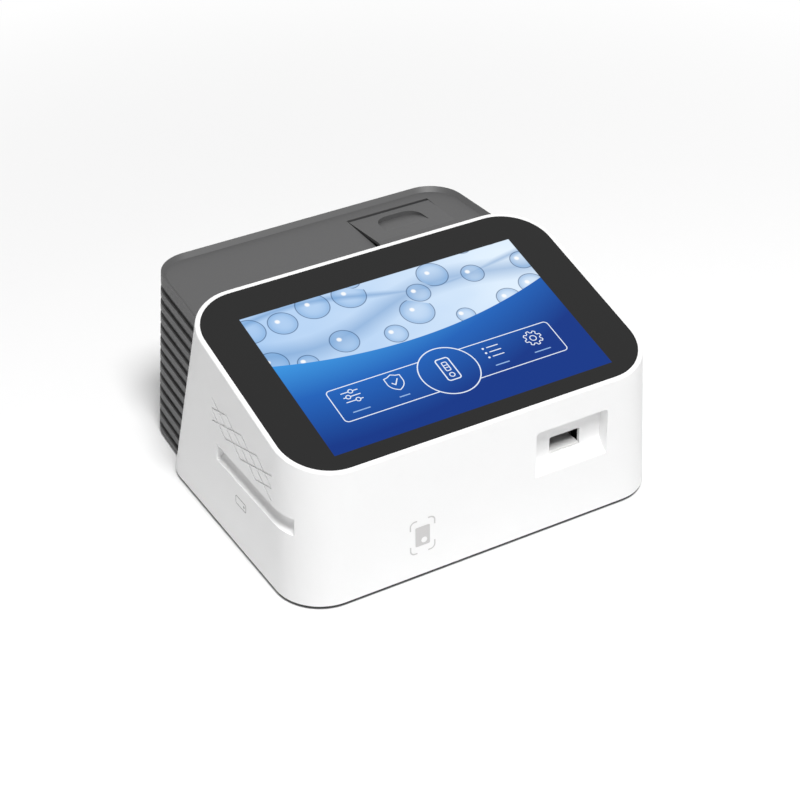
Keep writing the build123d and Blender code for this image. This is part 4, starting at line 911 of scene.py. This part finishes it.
def lay_floor(looks):
    """A wide floor under the feet: it takes the shadow, and turns to plain white away from the object."""
    half = FLOOR_HALF_SIZE
    corners = [(-half, -half, 0), (half, -half, 0), (half, half, 0), (-half, half, 0)]
    mesh = bpy.data.meshes.new("floor")
    mesh.from_pydata(corners, [], [(0, 1, 2, 3)])
    finish = Finish("floor_paint")
    finish.surface(base_color=(*looks.floor, 1), roughness=0.9, specular_ior_level=0.1)
    paint = Value(finish, finish.shader.outputs[0])
    glow = finish.node("ShaderNodeEmission", inputs={"Color": WHITE, "Strength": FLOOR_GLOW})
    white = finish.node("ShaderNodeEmission", inputs={"Color": WHITE, "Strength": 1.0})
    away = finish.node("ShaderNodeVectorMath", {"operation": "LENGTH"}, {0: finish.place()}, output="Value")
    far = ((away - FLOOR_CLEAR[0]) / (FLOOR_CLEAR[1] - FLOOR_CLEAR[0])).kept()
    near = finish.node("ShaderNodeAddShader", inputs={0: paint, 1: glow})
    brighter = finish.node("ShaderNodeMixShader", inputs={0: far, 1: near, 2: white})
    shown = finish.node("ShaderNodeMixShader", inputs={0: finish.seen(), 1: paint, 2: brighter})
    finish.fill(finish.tree.nodes["Material Output"].inputs["Surface"], shown)
    mesh.materials.append(finish.material)
    floor = bpy.data.objects.new("floor", mesh)
    bpy.context.scene.collection.objects.link(floor)


def light_world(scene, looks):
    """Even light from all round, and plain white where the camera, a gloss or clear glass looks past."""
    world = bpy.data.worlds.new("studio")
    world.use_nodes = True
    scene.world = world
    studio = NodeTree(world.node_tree)
    background = world.node_tree.nodes["Background"]
    studio.fill(background.inputs["Color"], WHITE)
    studio.fill(background.inputs["Strength"], looks.sky)
    even = Value(studio, background.outputs[0])
    white = studio.node("ShaderNodeBackground", inputs={"Color": WHITE, "Strength": 1.0})
    shown = studio.node("ShaderNodeMixShader", inputs={0: studio.seen(), 1: even, 2: white})
    studio.fill(world.node_tree.nodes["World Output"].inputs["Surface"], shown)


def soft_lamp(name, place, target, power, size):
    """A square soft lamp at a place, facing its target."""
    lamp = bpy.data.lights.new(name, "AREA")
    lamp.energy = power
    lamp.size = size
    holder = bpy.data.objects.new(name, lamp)
    holder.location = place
    holder.rotation_euler = (target - place).to_track_quat("-Z", "Y").to_euler()
    bpy.context.scene.collection.objects.link(holder)


def set_camera(scene):
    """The camera: its right, its up and its backward directions are the columns of its matrix."""
    camera = bpy.data.objects.new("camera", bpy.data.cameras.new("camera"))
    right, up = Vector(CAMERA_RIGHT), Vector(CAMERA_UP)
    turned = Matrix((right, up, right.cross(up))).transposed().to_4x4()
    camera.matrix_world = Matrix.Translation(CAMERA_PLACE) @ turned
    camera.data.lens = CAMERA_LENS
    scene.collection.objects.link(camera)
    scene.camera = camera


class READER_PT_looks(bpy.types.Panel):
    """The reader's looks, step by step"""

    bl_label = "Rapid test reader"
    bl_idname = "READER_PT_looks"
    bl_space_type = "VIEW_3D"
    bl_region_type = "UI"
    bl_category = "Reader"

    def draw(self, context):
        for group, operators in STEPS.items():
            box = self.layout.box()
            if group:
                looks = getattr(context.scene, group)
                for name in looks.__annotations__:
                    box.prop(looks, name)
            for operator in operators:
                box.operator(operator.bl_idname)


STEPS = {
    "reader_shells": [READER_OT_shell_finishes],
    "": [READER_OT_inner_finishes],
    "reader_screen": [READER_OT_screen, READER_OT_menu_lines],
    "reader_marks": [READER_OT_printed_marks],
    "reader_stage": [READER_OT_stage],
}
GROUPS = {
    "reader_shells": ReaderShellLooks,
    "reader_screen": ReaderScreenLooks,
    "reader_marks": ReaderMarkLooks,
    "reader_stage": ReaderStageLooks,
}
OPERATORS = [operator for group in STEPS.values() for operator in group]
CLASSES = [*GROUPS.values(), *OPERATORS, READER_PT_looks]


def register():
    """Adds the classes and their settings to the scene."""
    for kind in CLASSES:
        bpy.utils.register_class(kind)
    for name, group in GROUPS.items():
        setattr(bpy.types.Scene, name, PointerProperty(type=group))


def unregister():
    """Takes the settings and the classes away again."""
    for name in GROUPS:
        delattr(bpy.types.Scene, name)
    for kind in reversed(CLASSES):
        bpy.utils.unregister_class(kind)


def main():
    """Makes every piece and finish in order."""
    register()
    for operator in OPERATORS:
        family, name = operator.bl_idname.split(".")
        getattr(getattr(bpy.ops, family), name)()


if __name__ == "__main__":
    main()
